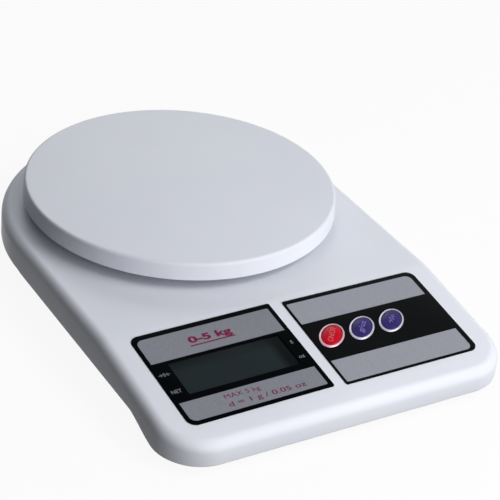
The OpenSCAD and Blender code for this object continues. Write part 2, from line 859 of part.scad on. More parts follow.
module rubber_feet() {
  color("dimgray") for (p = foot_spots) translate(p)
    mirror([0, 0, 1]) rotate_extrude()
      edge_section(foot_r - foot_round, foot_round, 0, -foot_h - foot_seat);
}

module housing_screws() {
  color("silver") for (p = housing_spots) translate([p[0], p[1], housing_head_z])
    screw_up(housing_screw_r, housing_screw_l, head_r, head_t);
}

module rating_label() {
  color("gainsboro") translate([0, front_y + label_y, floor_z - label_t])
    linear_extrude(height = label_t) film_outline(label_w, label_d, label_r, label_r);
}

// Weighing pan and what carries it

function post_spot(i) = [post_ring * cos(45 + 90 * i), pan_y + post_ring * sin(45 + 90 * i)];

module pan_section() {
  rim_r = pan_r + pan_draft;
  edge_section(pan_r - pan_edge_r, pan_edge_r, pan_top_z, pan_under_z);
  polygon([
    [pan_r - pan_t, pan_rim_z], [rim_r, pan_rim_z], [pan_r, pan_top_z - pan_edge_r],
    [pan_r - pan_t, pan_top_z - pan_edge_r]
  ]);
  for (r = rib_rings) translate([r, pan_under_z - rib_h]) square([rib_t, rib_h + pan_t / 2]);
}

module weighing_pan() {
  color("white") difference() {
    union() {
      translate([0, pan_y, 0]) {
        rotate_extrude() pan_section();
        for (i = [0:rib_count - 1]) rotate(i * 360 / rib_count + 15)
          box([rib_rings[0], -rib_t / 2, pan_under_z - rib_h],
            [pan_r - pan_t / 2, rib_t / 2, pan_under_z + pan_t / 2]);
      }
      for (i = [0:3]) translate(post_spot(i)) post(post_r, socket_z, pan_under_z + pan_t / 2);
    }
    for (i = [0:3]) translate(post_spot(i)) post(peg_r + peg_gap, socket_z - cut, pan_under_z);
  }
}

// Plan of the carrier's plate, with its disc on the pan's axis
module carrier_plan() {
  difference() {
    union() {
      circle(carrier_disc_r);
      for (i = [0:3]) rotate(45 + 90 * i) {
        translate([0, -arm_w / 2]) square([post_ring, arm_w]);
        translate([post_ring, 0]) circle(arm_end_r);
      }
      translate([-hub_w / 2 - hub_rim, beam_front - pan_y])
        square([hub_w + 2 * hub_rim, pan_y - beam_front]);
    }
    circle(carrier_hole_r);
  }
}

module pan_carrier() {
  color("gray") difference() {
    union() {
      translate([0, pan_y, carrier_z]) linear_extrude(height = carrier_t) carrier_plan();
      for (i = [0:3]) translate(post_spot(i)) {
        post(post_r, carrier_z + carrier_t / 2, socket_z);
        post(peg_r, socket_z - cut, peg_top);
      }
      box([-hub_w / 2, beam_front, beam_top],
        [hub_w / 2, beam_front + hub_l, carrier_z + carrier_t / 2]);
    }
    for (y = free_screw_ys) translate([0, y, 0])
      post(beam_hole_r, beam_top - cut, carrier_top + cut);
  }
}

module carrier_screws() {
  color("silver") for (y = free_screw_ys) translate([0, y, carrier_top])
    mirror([0, 0, 1]) screw_up(beam_screw_r, carrier_top - beam_top + beam_screw_reach,
      beam_head_r, beam_head_t);
}

module load_cell() {
  color("silver") difference() {
    box([-beam_s / 2, beam_front, beam_z], [beam_s / 2, beam_back, beam_top]);
    translate([0, pan_y, beam_z + beam_s / 2]) {
      for (s = [-1, 1]) translate([0, s * flexure_x, 0])
        rotate([0, 90, 0]) cylinder(r = flexure_r, h = beam_s + 2 * cut, center = true);
      cube([beam_s + 2 * cut, 2 * flexure_x, slot_h], center = true);
    }
    for (y = concat(free_screw_ys, fixed_screw_ys)) translate([0, y, 0])
      post(beam_hole_r, beam_z - cut, beam_top + cut);
  }
}

module gauge_sealant() {
  half_l = flexure_x + flexure_r;
  color("ivory") for (low = [beam_top, beam_z - sealant_t])
    box([-beam_s / 2 + 1, pan_y - half_l, low], [beam_s / 2 - 1, pan_y + half_l, low + sealant_t]);
}

module load_cell_spacer() {
  color("darkgray") difference() {
    box([-beam_s / 2, fixed_screw_ys[1] - 4, beam_z - spacer_t], [beam_s / 2, beam_back, beam_z]);
    for (y = fixed_screw_ys) translate([0, y, 0])
      post(beam_hole_r + 0.2, beam_z - spacer_t - cut, beam_z + cut);
  }
}

module load_cell_screws() {
  color("silver") for (y = fixed_screw_ys) translate([0, y, fixed_head_z])
    screw_up(beam_screw_r, beam_z - fixed_head_z + beam_screw_reach, beam_head_r, beam_head_t);
}

module overload_stop() {
  color("silver") translate(stop_spot) difference() {
    post(stop_r, floor_z + 0.4, stop_tip);
    box([-stop_r / 2, -0.25, floor_z], [stop_r / 2, 0.25, floor_z + 1]);
  }
}

module load_cell_wires() {
  color("firebrick") tube(smooth(bundle_route), bundle_r);
}

// Display

module display_overlay() {
  color("black") on_panel() translate([display_x, display_v, 0]) rotate(display_turn)
    linear_extrude(height = film_t) difference() {
      film_outline(display_w, film_d, film_corner, film_tight);
      translate([window_x - display_x, window_v - display_v])
        square([window_w, window_d], center = true);
    }
}

module display_window() {
  color("darkslategray", 0.5) on_panel() translate([window_x, window_v, -lens_t])
    linear_extrude(height = lens_t)
      square([window_w, window_d] + 2 * lens_lap * [1, 1], center = true);
}

module lcd_glass() {
  color("darkolivegreen") on_panel() translate([window_x, window_v, glass_top - glass_t]) {
    translate([-glass_w / 2, -glass_d / 2, 0]) cube([glass_w, glass_d, glass_t / 2]);
    translate([-glass_w / 2, -glass_d / 2 + zebra_inset, glass_t / 2])
      cube([glass_w, glass_d - 2 * zebra_inset, glass_t / 2]);
  }
}

module lcd_frame() {
  outer = [glass_w, glass_d] + 2 * (frame_gap + frame_wall) * [1, 1];
  inner = [glass_w, glass_d] + 2 * frame_gap * [1, 1];
  shelf = 1.2;
  color("whitesmoke") on_panel() translate([window_x, window_v, -board_drop])
    difference() {
      linear_extrude(height = board_drop + glass_top) square(outer, center = true);
      translate([0, 0, board_drop + glass_top - glass_t])
        linear_extrude(height = glass_t + cut) square(inner, center = true);
      translate([0, 0, -cut]) linear_extrude(height = board_drop)
        square(inner - 2 * shelf * [1, 0], center = true);
    }
}

module zebra_strips() {
  low = -board_drop;
  color("dimgray") on_panel() for (s = [-1, 1])
    translate([window_x, window_v + s * (glass_d / 2 - zebra_in - zebra_w / 2), low])
      linear_extrude(height = glass_top - glass_t - low)
        square([glass_w - 8, zebra_w], center = true);
}

// Keys

module keypad_overlay() {
  color("black") on_panel() difference() {
    translate([keypad_x, keypad_v, 0]) linear_extrude(height = film_t)
      film_outline(keypad_w, film_d, film_tight, film_corner);
    for (x = key_xs) at_key(x) oval_post(key_hole, -cut, film_t + cut);
  }
}

module key_rings() {
  low = film_t;
  top = film_t + ring_h;
  color("silver") on_panel() for (x = key_xs) at_key(x) difference() {
    union() {
      oval_post(ring_half, low, top - ring_step);
      oval_post(ring_half - ring_step * [1, 1], low, top);
    }
    oval_post(key_hole, low - cut, top + cut);
  }
}

// A key's domed cap, its flange under the housing and its plunger
module key(x) {
  half_w = key_half[1];
  dome_r = (half_w * half_w + key_dome * key_dome) / (2 * key_dome);
  dome_z = key_rim_z + key_dome - dome_r;
  on_panel() at_key(x) {
    intersection() {
      oval_post(key_half, key_flange_z - key_flange_t / 2, key_rim_z + key_dome + cut);
      scale([key_half[0] / half_w, 1, 1]) translate([0, 0, dome_z]) sphere(dome_r, $fn = 96);
    }
    oval_post(key_flange, key_flange_z - key_flange_t, key_flange_z);
    post(plunger_r, stem_top, key_flange_z - key_flange_t / 2);
  }
}

module stem(x) {
  on_panel() translate([x, key_v, 0]) post(stem_r, stem_top - stem_l, stem_top);
}

module power_key() {
  color("crimson") key(key_xs[0]);
}

module unit_key() {
  color("darkslateblue") key(key_xs[1]);
}

module tare_key() {
  color("darkslateblue") key(key_xs[2]);
}

module power_stem() {
  color("black") stem(key_xs[0]);
}

module unit_stem() {
  color("black") stem(key_xs[1]);
}

module tare_stem() {
  color("black") stem(key_xs[2]);
}

module key_switches() {
  color("dimgray") on_panel() for (x = key_xs) translate([x, key_v, 0]) difference() {
    box([-switch_s / 2, -switch_s / 2, -board_drop], [switch_s / 2, switch_s / 2, switch_top]);
    post(stem_r + stem_gap, stem_top - stem_l - key_travel - 0.2, switch_top + cut);
  }
}

// Circuit board

module circuit_board() {
  color("seagreen") on_panel() difference() {
    translate([-board_left, -board_v - board_d, board_under])
      cube([board_left + board_right, board_d, board_t]);
    for (p = board_spots) translate(p) post(board_screw_r + 0.2, board_under - cut, -board_drop + cut);
  }
}

module board_screws() {
  color("silver") on_panel() for (p = board_spots) translate([p[0], p[1], board_under])
    screw_up(board_screw_r, board_t + 4.5, 1.9, 1.2);
}

module processor_blob() {
  sphere_r = (blob_r * blob_r + blob_h * blob_h) / (2 * blob_h);
  color("black") on_panel() translate([window_x + blob_side, window_v, board_under])
    intersection() {
      translate([0, 0, sphere_r - blob_h]) sphere(sphere_r, $fn = 96);
      post(blob_r + cut, -blob_h - cut, 0);
    }
}

module board_resistors() {
  color("dimgray") on_panel() for (i = [0:5], j = [0:1])
    translate([resistor_spot[0] + resistor_pitch[0] * i,
        parts_v + resistor_spot[1] + resistor_pitch[1] * j, board_under - resistor_h])
      linear_extrude(height = resistor_h) square(chip_size);
}

module board_capacitors() {
  color("tan") on_panel() {
    for (i = [0:4])
      translate([capacitor_spot[0] - capacitor_pitch * i, parts_v + capacitor_spot[1],
          board_under - capacitor_h])
        linear_extrude(height = capacitor_h) square(chip_size);
    translate([can_capacitor_spot[0], parts_v + can_capacitor_spot[1], 0])
      post(can_capacitor_r, board_under - can_capacitor_h, board_under);
  }
}

module crystal_can() {
  round_r = crystal_size[1] / 2 - 0.05;
  color("silver") on_panel()
    translate([crystal_spot[0], parts_v + crystal_spot[1], board_under - crystal_h])
      linear_extrude(height = crystal_h)
        film_outline(crystal_size[0], crystal_size[1], round_r, round_r);
}

// Batteries and their contacts

// One AA cell with its nub towards +x, between the spring and the plate
module battery(y, turn) {
  body_l = battery_l - nub_l;
  translate([0, y, battery_z]) rotate(turn)
    translate([bay_in_l / 2 - plate_t - battery_l, 0, 0]) rotate([0, 90, 0])
      rotate_extrude() polygon([
        [0, 0], [battery_r - nub_chamfer, 0], [battery_r, nub_chamfer],
        [battery_r, body_l - nub_chamfer], [battery_r - nub_chamfer, body_l],
        [nub_r, body_l], [nub_r, battery_l], [0, battery_l]
      ]);
}

module battery_front() {
  color("darkgoldenrod") battery(bay_y - cell_offset, 0);
}

module battery_rear() {
  color("darkgoldenrod") battery(bay_y + cell_offset, 180);
}

// Cone spring whose wide end is on the contact plate and narrow end on the cell
module cone_spring(length) {
  wire_r = 0.35;
  wide = 4.6;
  narrow = 3;
  turns = 4;
  steps = 14;
  route = [
    for (i = [0:turns * steps])
      let (t = i / (turns * steps), a = 360 * i / steps, r = wide + (narrow - wide) * t)
      [wire_r + (length - 2 * wire_r) * t, r * cos(a), r * sin(a)]
  ];
  tube(route, wire_r, 6);
}

module battery_springs() {
  end_gap = 0.05;
  color("silver") for (s = [-1, 1])
    translate([s * (bay_in_l / 2 - plate_t), bay_y + s * cell_offset, battery_z])
      rotate(s > 0 ? 180 : 0) translate([end_gap, 0, 0])
        cone_spring(spring_room - 2 * end_gap);
}

module contact_plate(x, y) {
  box([x, y - plate_w / 2, battery_z - plate_h / 2],
    [x + plate_t, y + plate_w / 2, battery_z + plate_h / 2]);
}

// Both contacts at the left end, in one strip
module contact_link() {
  x = -bay_in_l / 2;
  strip_h = 4;
  color("silver") {
    for (s = [-1, 1]) contact_plate(x, bay_y + s * cell_offset);
    box([x, bay_y - cell_offset, battery_z - strip_h / 2],
      [x + plate_t, bay_y + cell_offset, battery_z + strip_h / 2]);
  }
}

// The two contacts at the right end, each with a solder tail
module contact_tabs() {
  x = bay_in_l / 2 - plate_t;
  color("silver") for (s = [-1, 1]) {
    contact_plate(x, tail_y(s));
    box([x, tail_y(s) - tail_w / 2, tail_z], [tail_end, tail_y(s) + tail_w / 2, tail_z + plate_t]);
  }
}

module positive_lead() {
  color("firebrick") tube(smooth(positive_route), lead_r);
}

module negative_lead() {
  color("black") tube(smooth(negative_route), lead_r);
}

upper_housing();
lower_housing();
battery_door();
rubber_feet();
housing_screws();
rating_label();
weighing_pan();
pan_carrier();
carrier_screws();
load_cell();
gauge_sealant();
load_cell_spacer();
load_cell_screws();
overload_stop();
load_cell_wires();
display_overlay();
display_window();
lcd_glass();
lcd_frame();
zebra_strips();
keypad_overlay();
key_rings();
power_key();
unit_key();
tare_key();
power_stem();
unit_stem();
tare_stem();
key_switches();
circuit_board();
board_screws();
processor_blob();
board_resistors();
board_capacitors();
crystal_can();
battery_front();
battery_rear();
battery_springs();
contact_link();
contact_tabs();
positive_lead();
negative_lead();
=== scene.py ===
# %% [markdown]
# # A digital kitchen scale
#
# The scale is already built as a CAD model: 42 named pieces, packed in one frame. This
# lesson gives it its looks. It loads the frame, sets up a camera and soft light, mixes a
# finish for every piece, and models the pieces that the eye lands on with finer edges
# than the CAD model has: the housing, the round pan, the two printed films, the display
# window and the three keys.

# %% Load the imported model
import json
import math

import bmesh
import bpy
from mathutils import Matrix, Vector


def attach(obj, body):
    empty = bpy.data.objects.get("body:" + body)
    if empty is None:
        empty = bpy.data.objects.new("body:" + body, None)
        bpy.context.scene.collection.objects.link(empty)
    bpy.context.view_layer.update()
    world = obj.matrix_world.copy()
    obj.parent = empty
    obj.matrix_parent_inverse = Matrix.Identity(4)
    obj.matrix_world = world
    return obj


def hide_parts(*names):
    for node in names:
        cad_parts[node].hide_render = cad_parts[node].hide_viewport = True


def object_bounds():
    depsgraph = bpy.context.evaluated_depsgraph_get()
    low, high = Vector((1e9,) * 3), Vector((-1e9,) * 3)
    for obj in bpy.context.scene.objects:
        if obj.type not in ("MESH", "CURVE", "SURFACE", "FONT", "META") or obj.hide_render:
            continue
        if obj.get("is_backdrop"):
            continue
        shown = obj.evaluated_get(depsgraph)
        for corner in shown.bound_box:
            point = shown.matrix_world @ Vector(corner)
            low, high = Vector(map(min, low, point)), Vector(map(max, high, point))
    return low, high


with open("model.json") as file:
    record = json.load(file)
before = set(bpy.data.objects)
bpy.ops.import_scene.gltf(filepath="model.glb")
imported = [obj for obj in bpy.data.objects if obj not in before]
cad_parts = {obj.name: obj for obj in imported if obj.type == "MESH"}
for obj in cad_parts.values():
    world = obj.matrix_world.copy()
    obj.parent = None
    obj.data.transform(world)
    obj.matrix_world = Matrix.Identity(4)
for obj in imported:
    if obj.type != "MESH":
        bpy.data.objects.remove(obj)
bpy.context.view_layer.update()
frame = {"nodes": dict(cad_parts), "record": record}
print("pieces in the frame:", len(frame["nodes"]))

# %% [markdown]
# ## Sizes
#
# Blender works in metres, and this object is drawn in millimetres, so every size is
# written as a number of millimetres. The origin is on the table under the middle of the
# housing: +Z is up, the display is at the front, towards -Y, and the pan is at the back.

# %% Sizes that several pieces share
MM = 0.001
TINY = 0.001 * MM
BODY_W = 170 * MM
BODY_L = 242.5 * MM
BODY_TOP = 24.5 * MM
PANEL_L = 71.4 * MM
FRONT_Y = -BODY_L / 2
FOLD_Y = FRONT_Y + PANEL_L
TILT = math.radians(7.45)

# The sloping panel has a frame of its own: the origin is on the fold, x runs across,
# y up the slope and z out of the surface.
PANEL = Matrix.Translation((0, FOLD_Y, BODY_TOP)) @ Matrix.Rotation(TILT, 4, "X")
front_edge = PANEL @ Vector((0, -PANEL_L, 0))
print("the panel's front edge is", round(front_edge.z / MM, 1), "mm high")

# %% [markdown]
# ## The camera
#
# The photograph looks down at the scale from the front left, slightly rolled. A camera is
# one matrix: its first three columns are where the camera's right, up and back point, and
# the fourth is where it stands. Here they come from three angles, a distance and the
# point that it looks at, found by matching the outline of the pan and the films.

# %% Set up the camera
def camera_axes(azimuth, elevation, roll):
    """The directions of a camera's right, up and back. Azimuth 0 looks along +Y."""
    back = Vector((
        math.sin(azimuth) * math.cos(elevation),
        -math.cos(azimuth) * math.cos(elevation),
        math.sin(elevation),
    ))
    right = (-back).cross(Vector((0, 0, 1))).normalized()
    up = right.cross(-back)
    return (
        math.cos(roll) * right + math.sin(roll) * up,
        math.cos(roll) * up - math.sin(roll) * right,
        back,
    )


AZIMUTH = math.radians(-33.15)
ELEVATION = math.radians(31.37)
ROLL = math.radians(6.165)
DISTANCE = 823.4 * MM
AIM = Vector((15.75, -3.55, 20)) * MM
lens_data = bpy.data.cameras.new("camera")
lens_data.sensor_width = 36
lens_data.lens = 126.78
lens_data.clip_start = 0.05
camera = bpy.data.objects.new("camera", lens_data)
bpy.context.scene.collection.objects.link(camera)
right, up, back = camera_axes(AZIMUTH, ELEVATION, ROLL)
turn = Matrix((right, up, back)).transposed().to_4x4()
camera.matrix_world = Matrix.Translation(AIM + DISTANCE * back) @ turn
bpy.context.scene.camera = camera
print("the camera stands at", [round(c, 3) for c in camera.matrix_world.translation])

# %% [markdown]
# ## Light
#
# White plastic needs soft light from one side, or its forms vanish. One large softbox
# stands close in front and a smaller one high at the right, so the front wall is bright,
# the top is a step darker and the left wall falls into shade. Both stand near enough that
# the light grows weaker across the scale, as it does in the photograph. A third box stands
# low behind, for the back wall. A sun lamp would be simpler, but its shadows are hard. The
# Standard view shows each colour as it is written.

# %% Softboxes
bpy.context.scene.view_settings.view_transform = "Standard"


def softbox(name, azimuth, elevation, distance, width, height, power, colour):
    """A rectangular lamp that looks at the origin. Angles are in degrees, power in watts."""
    light = bpy.data.lights.new(name, "AREA")
    light.shape = "RECTANGLE"
    light.size = width
    light.size_y = height
    light.energy = power
    light.color = colour
    stand = bpy.data.objects.new(name, light)
    bpy.context.scene.collection.objects.link(stand)
    a, e = math.radians(azimuth), math.radians(elevation)
    out = Vector((math.sin(a) * math.cos(e), -math.cos(a) * math.cos(e), math.sin(e)))
    aim = Matrix.Translation(distance * out) @ out.to_track_quat("Z", "Y").to_matrix().to_4x4()
    stand.matrix_world = aim
    return stand


softbox("front_softbox", 8, 18, 0.9, 0.9, 0.75, 6.1, (1.0, 0.995, 0.985))
softbox("right_softbox", 45, 48, 0.9, 0.55, 0.5, 4.3, (1.0, 1.0, 0.99))
softbox("back_softbox", 165, 30, 1.3, 0.9, 0.7, 4.2, (0.95, 0.98, 1.0))

# %% [markdown]
# The world adds a weak cool fill, and what the camera sees behind the object is plain
# white. One world can do both: Light Path tells the rays that go to the camera, or to a
# mirror or glass, from the rays that light the object.


# %% White backdrop
def seen_directly(tree):
    """1 for rays to the camera, a mirror or glass, and 0 for rays that light the object."""
    path = tree.nodes.new("ShaderNodeLightPath")
    total = path.outputs["Is Camera Ray"]
    for kind in ("Is Glossy Ray", "Is Transmission Ray"):
        either = tree.nodes.new("ShaderNodeMath")
        either.operation = "MAXIMUM"
        tree.links.new(total, either.inputs[0])
        tree.links.new(path.outputs[kind], either.inputs[1])
        total = either.outputs[0]
    return total


world = bpy.data.worlds.new("studio")
bpy.context.scene.world = world
world.use_nodes = True
tree = world.node_tree
tree.nodes.clear()
fill = tree.nodes.new("ShaderNodeBackground")
fill.inputs["Color"].default_value = (0.80, 0.89, 1.0, 1)
fill.inputs["Strength"].default_value = 0.055
print("the fill is", round(fill.inputs["Strength"].default_value, 3), "of the backdrop")
white = tree.nodes.new("ShaderNodeBackground")
white.inputs["Color"].default_value = (1, 1, 1, 1)
white.inputs["Strength"].default_value = 1.0
either = tree.nodes.new("ShaderNodeMixShader")
output = tree.nodes.new("ShaderNodeOutputWorld")
tree.links.new(seen_directly(tree), either.inputs[0])
tree.links.new(fill.outputs[0], either.inputs[1])
tree.links.new(white.outputs[0], either.inputs[2])
tree.links.new(either.outputs[0], output.inputs["Surface"])

# %% [markdown]
# ## The floor
#
# A plain pale floor carries the scale and catches its shadow. To the camera it glows
# nearly white, so it blends into the backdrop, and only the shadow shows. It lies a hair
# below the feet, or the two faces would fight for the same place.

# %% Floor
FLOOR_HALF = 2.5
FLOOR_GAP = 0.05 * MM
floor_finish = bpy.data.materials.new("floor_white")
floor_finish.use_nodes = True
tree = floor_finish.node_tree
tree.nodes.clear()
matt = tree.nodes.new("ShaderNodeBsdfDiffuse")
matt.inputs["Color"].default_value = (0.93, 0.93, 0.94, 1)
glow = tree.nodes.new("ShaderNodeEmission")
glow.inputs["Color"].default_value = (1, 1, 1, 1)
tree.links.new(seen_directly(tree), glow.inputs["Strength"])
share = tree.nodes.new("ShaderNodeMixShader")
share.inputs[0].default_value = 0.92
output = tree.nodes.new("ShaderNodeOutputMaterial")
tree.links.new(matt.outputs[0], share.inputs[1])
tree.links.new(glow.outputs[0], share.inputs[2])
tree.links.new(share.outputs[0], output.inputs["Surface"])

bm = bmesh.new()
bmesh.ops.create_grid(bm, x_segments=1, y_segments=1, size=FLOOR_HALF)
bmesh.ops.translate(bm, vec=(0, 0, -FLOOR_GAP), verts=bm.verts)
floor_mesh = bpy.data.meshes.new("floor")
bm.to_mesh(floor_mesh)
bm.free()
floor_mesh.materials.append(floor_finish)
floor = bpy.data.objects.new("floor", floor_mesh)
bpy.context.scene.collection.objects.link(floor)
floor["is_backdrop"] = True
print("the floor is", 2 * FLOOR_HALF, "m wide")

# %% [markdown]
# ## Finishes
#
# No real surface is one flat colour. Each finish here is a Principled shader whose
# colour, roughness and bump follow noise on the piece's own Object coordinates, so the
# pattern sits still on the piece. `finish` makes the common kind. A number that is the
# same all over the surface is set on the shader's own socket.

# %% Helpers for node materials
def noise(tree, scale, detail=2.0, stretch=(1, 1, 1)):
    """Noise on Object coordinates. Scale 1000 gives spots of about a millimetre."""
    coordinates = tree.nodes.new("ShaderNodeTexCoord")
    mapping = tree.nodes.new("ShaderNodeMapping")
    mapping.inputs["Scale"].default_value = stretch
    texture = tree.nodes.new("ShaderNodeTexNoise")
    texture.inputs["Scale"].default_value = scale
    texture.inputs["Detail"].default_value = detail
    tree.links.new(coordinates.outputs["Object"], mapping.inputs["Vector"])
    tree.links.new(mapping.outputs["Vector"], texture.inputs["Vector"])
    return texture.outputs["Fac"]


def colour_between(tree, factor, low, high):
    """A colour that drifts from low to high with the noise, whose middle part counts."""
    ramp = tree.nodes.new("ShaderNodeValToRGB")
    ramp.color_ramp.elements[0].position = 0.3
    ramp.color_ramp.elements[0].color = (*low, 1)
    ramp.color_ramp.elements[1].position = 0.7
    ramp.color_ramp.elements[1].color = (*high, 1)
    tree.links.new(factor, ramp.inputs["Fac"])
    return ramp.outputs["Color"]


def value_between(tree, factor, low, high):
    """The same for a single number, such as roughness."""
    spread = tree.nodes.new("ShaderNodeMapRange")
    spread.inputs["From Min"].default_value = 0.3
    spread.inputs["From Max"].default_value = 0.7
    spread.inputs["To Min"].default_value = low
    spread.inputs["To Max"].default_value = high
    tree.links.new(factor, spread.inputs["Value"])
    return spread.outputs["Result"]


def bump(tree, shader, height, strength, distance):
    """Fine relief: light turns as if the surface rose and fell by this distance."""
    relief = tree.nodes.new("ShaderNodeBump")
    relief.inputs["Strength"].default_value = strength
    relief.inputs["Distance"].default_value = distance
    tree.links.new(height, relief.inputs["Height"])
    tree.links.new(relief.outputs["Normal"], shader.inputs["Normal"])


FINISHES = {}


def finish(name, low, high, rough, patch=25, grain=1500, relief=0.1, depth=0.02,
           metal=0.0, specular=0.5, coat=0.0, stretch=(1, 1, 1), scuffs=0.0):
    """A finish whose colour drifts in patches, and whose grain is in roughness and bump."""
    material = bpy.data.materials.new(name + "_finish")
    material.use_nodes = True
    tree = material.node_tree
    shader = tree.nodes["Principled BSDF"]
    shader.inputs["Metallic"].default_value = metal
    shader.inputs["Specular IOR Level"].default_value = specular
    shader.inputs["Coat Weight"].default_value = coat
    drift = noise(tree, patch, 3.0)
    fine = noise(tree, grain, 2.0, stretch)
    tree.links.new(colour_between(tree, drift, low, high), shader.inputs["Base Color"])
    roughness = value_between(tree, fine, *rough)
    if scuffs:
        roughness = scuffed(tree, roughness, scuffs)
    tree.links.new(roughness, shader.inputs["Roughness"])
    bump(tree, shader, fine, relief, depth * MM)
    FINISHES[name] = material
    return material


def scuffed(tree, roughness, amount):
    """Adds hairlines from wiping, in two directions: noise that is drawn out very long."""
    for stretch in ((1, 0.03, 1), (0.04, 1, 1)):
        streak = tree.nodes.new("ShaderNodeMapRange")
        streak.inputs["From Min"].default_value = 0.62
        streak.inputs["From Max"].default_value = 0.72
        streak.inputs["To Max"].default_value = amount
        tree.links.new(noise(tree, 1400, 1.0, stretch), streak.inputs["Value"])
        total = tree.nodes.new("ShaderNodeMath")
        total.operation = "ADD"
        tree.links.new(roughness, total.inputs[0])
        tree.links.new(streak.outputs["Result"], total.inputs[1])
        roughness = total.outputs[0]
    return roughness


# %% [markdown]
# The scale's own finishes come in groups. The housing and the pan are the same cool white
# plastic, satin from the mould's fine texture. The pan is wiped after each use, so it also
# carries faint hairlines. The tray underneath has a coarser texture, as hidden faces do.

# %% White plastics and rubber
finish("housing_plastic", (0.77, 0.79, 0.87), (0.80, 0.82, 0.89), (0.34, 0.46), patch=14,
       grain=2200, relief=0.05, specular=0.25)
finish("pan_plastic", (0.77, 0.79, 0.87), (0.80, 0.82, 0.89), (0.42, 0.54), patch=12,
       grain=2600, relief=0.07, specular=0.25, scuffs=0.12)
finish("tray_plastic", (0.72, 0.74, 0.81), (0.76, 0.78, 0.84), (0.44, 0.58), patch=18,
       grain=1400, relief=0.22, specular=0.25)
finish("carrier_plastic", (0.20, 0.21, 0.23), (0.24, 0.25, 0.27), (0.40, 0.55), grain=900,
       relief=0.2)
finish("foot_rubber", (0.035, 0.035, 0.038), (0.055, 0.055, 0.058), (0.70, 0.90), patch=90,
       grain=1800, relief=0.4, specular=0.2)
print("finishes:", len(FINISHES))

# %% [markdown]
# The films are polyester, printed from behind: a very deep black, and bands in a silver-grey
# ink whose fine metal flakes show as grain. White or red marks lie on top. The right film
# is a shade lighter than the left one in the photograph, so its bands are too.

# %% Films and inks
finish("display_film", (0.001, 0.0017, 0.0024), (0.0016, 0.0024, 0.0032), (0.26, 0.38),
       patch=60, grain=1200, relief=0.04, specular=0.006)
finish("keypad_film", (0.003, 0.0035, 0.004), (0.004, 0.005, 0.0055), (0.26, 0.38),
       patch=60, grain=1200, relief=0.04, specular=0.015)
finish("display_band_ink", (0.20, 0.21, 0.24), (0.23, 0.24, 0.275), (0.36, 0.5), patch=900,
       grain=3500, relief=0.1, metal=0.1, specular=0.12)
finish("keypad_band_ink", (0.295, 0.305, 0.35), (0.325, 0.335, 0.38), (0.36, 0.5), patch=900,
       grain=3500, relief=0.1, metal=0.1, specular=0.12)
for name, low, high in (("white_ink", (0.17, 0.18, 0.20), (0.23, 0.24, 0.26)),
                        ("red_ink", (0.15, 0.006, 0.045), (0.19, 0.008, 0.055)),
                        ("red_key_ink", (0.62, 0.10, 0.12), (0.70, 0.15, 0.17)),
                        ("blue_key_ink", (0.17, 0.14, 0.42), (0.22, 0.19, 0.50))):
    finish(name, low, high, (0.4, 0.55), patch=1500, grain=3000, specular=0.1)
print("finishes:", len(FINISHES))

# %% [markdown]
# The keys are glossy mouldings in deep colours, each in a bright ring. The red key's ring
# has a painted reflection of the cap: a little red is mixed into its colour. The display
# glass, the zebra strips that connect it and the switches are only seen with the housing off.

# %% Keys, rings and display
finish("red_key", (0.50, 0.002, 0.012), (0.57, 0.004, 0.018), (0.24, 0.36), patch=250,
       grain=1500, relief=0.08, specular=0.06)
finish("blue_key", (0.030, 0.020, 0.125), (0.040, 0.027, 0.150), (0.24, 0.36), patch=250,
       grain=1500, relief=0.08, specular=0.06)
finish("ring_metal", (0.42, 0.41, 0.51), (0.50, 0.49, 0.59), (0.30, 0.42), patch=400,
       grain=2500, relief=0.05, metal=0.5, specular=0.3)
# The power ring's pink tint is a painted reflection of the red cap beside it.
finish("power_ring_metal", (0.55, 0.33, 0.39), (0.63, 0.40, 0.46), (0.30, 0.42), patch=400,
       grain=2500, relief=0.05, metal=0.5, specular=0.3)
finish("lcd_glass", (0.07, 0.085, 0.075), (0.08, 0.095, 0.085), (0.08, 0.14), patch=30,
       grain=1200, relief=0.02)
finish("frame_plastic", (0.62, 0.63, 0.64), (0.68, 0.69, 0.70), (0.45, 0.60), grain=1200)
finish("zebra_rubber", (0.05, 0.05, 0.05), (0.45, 0.30, 0.30), (0.60, 0.80), patch=3000,
       grain=2000, relief=0.3)
finish("switch_plastic", (0.02, 0.02, 0.022), (0.035, 0.035, 0.037), (0.40, 0.55), grain=2000)
print("finishes:", len(FINISHES))

# %% [markdown]
# Metals are told apart by how they were worked: screws are turned and plated, the load
# cell is a milled bar with marks across its length, and the contacts are nickel-plated
# sheet. The label is a silver sheet that was left bare.

# %% Metals and the label
finish("screw_steel", (0.50, 0.50, 0.52), (0.62, 0.62, 0.64), (0.22, 0.38), patch=300,
       grain=2500, metal=1.0)
finish("cell_aluminium", (0.66, 0.67, 0.69), (0.76, 0.77, 0.78), (0.28, 0.46), patch=60,
       grain=900, relief=0.3, metal=1.0, stretch=(1, 0.04, 1))
finish("crystal_steel", (0.60, 0.60, 0.60), (0.70, 0.70, 0.70), (0.20, 0.32), patch=500,
       grain=2500, metal=1.0)
finish("contact_steel", (0.62, 0.60, 0.55), (0.72, 0.70, 0.64), (0.18, 0.34), patch=300,
       grain=2000, metal=1.0)
finish("label_paper", (0.60, 0.61, 0.63), (0.66, 0.67, 0.69), (0.30, 0.42), patch=40,
       grain=3000, relief=0.15, metal=0.4)
print("finishes:", len(FINISHES))

# %% [markdown]
# The board is green under a clear lacquer, which is a coat on its shader. The parts on it
# are resin and fired ceramic. The two cells shine like printed metal film, and the leads
# have soft insulation. All of this shows only when the battery door is open, or when a
# piece is taken off, so these finishes are plain.

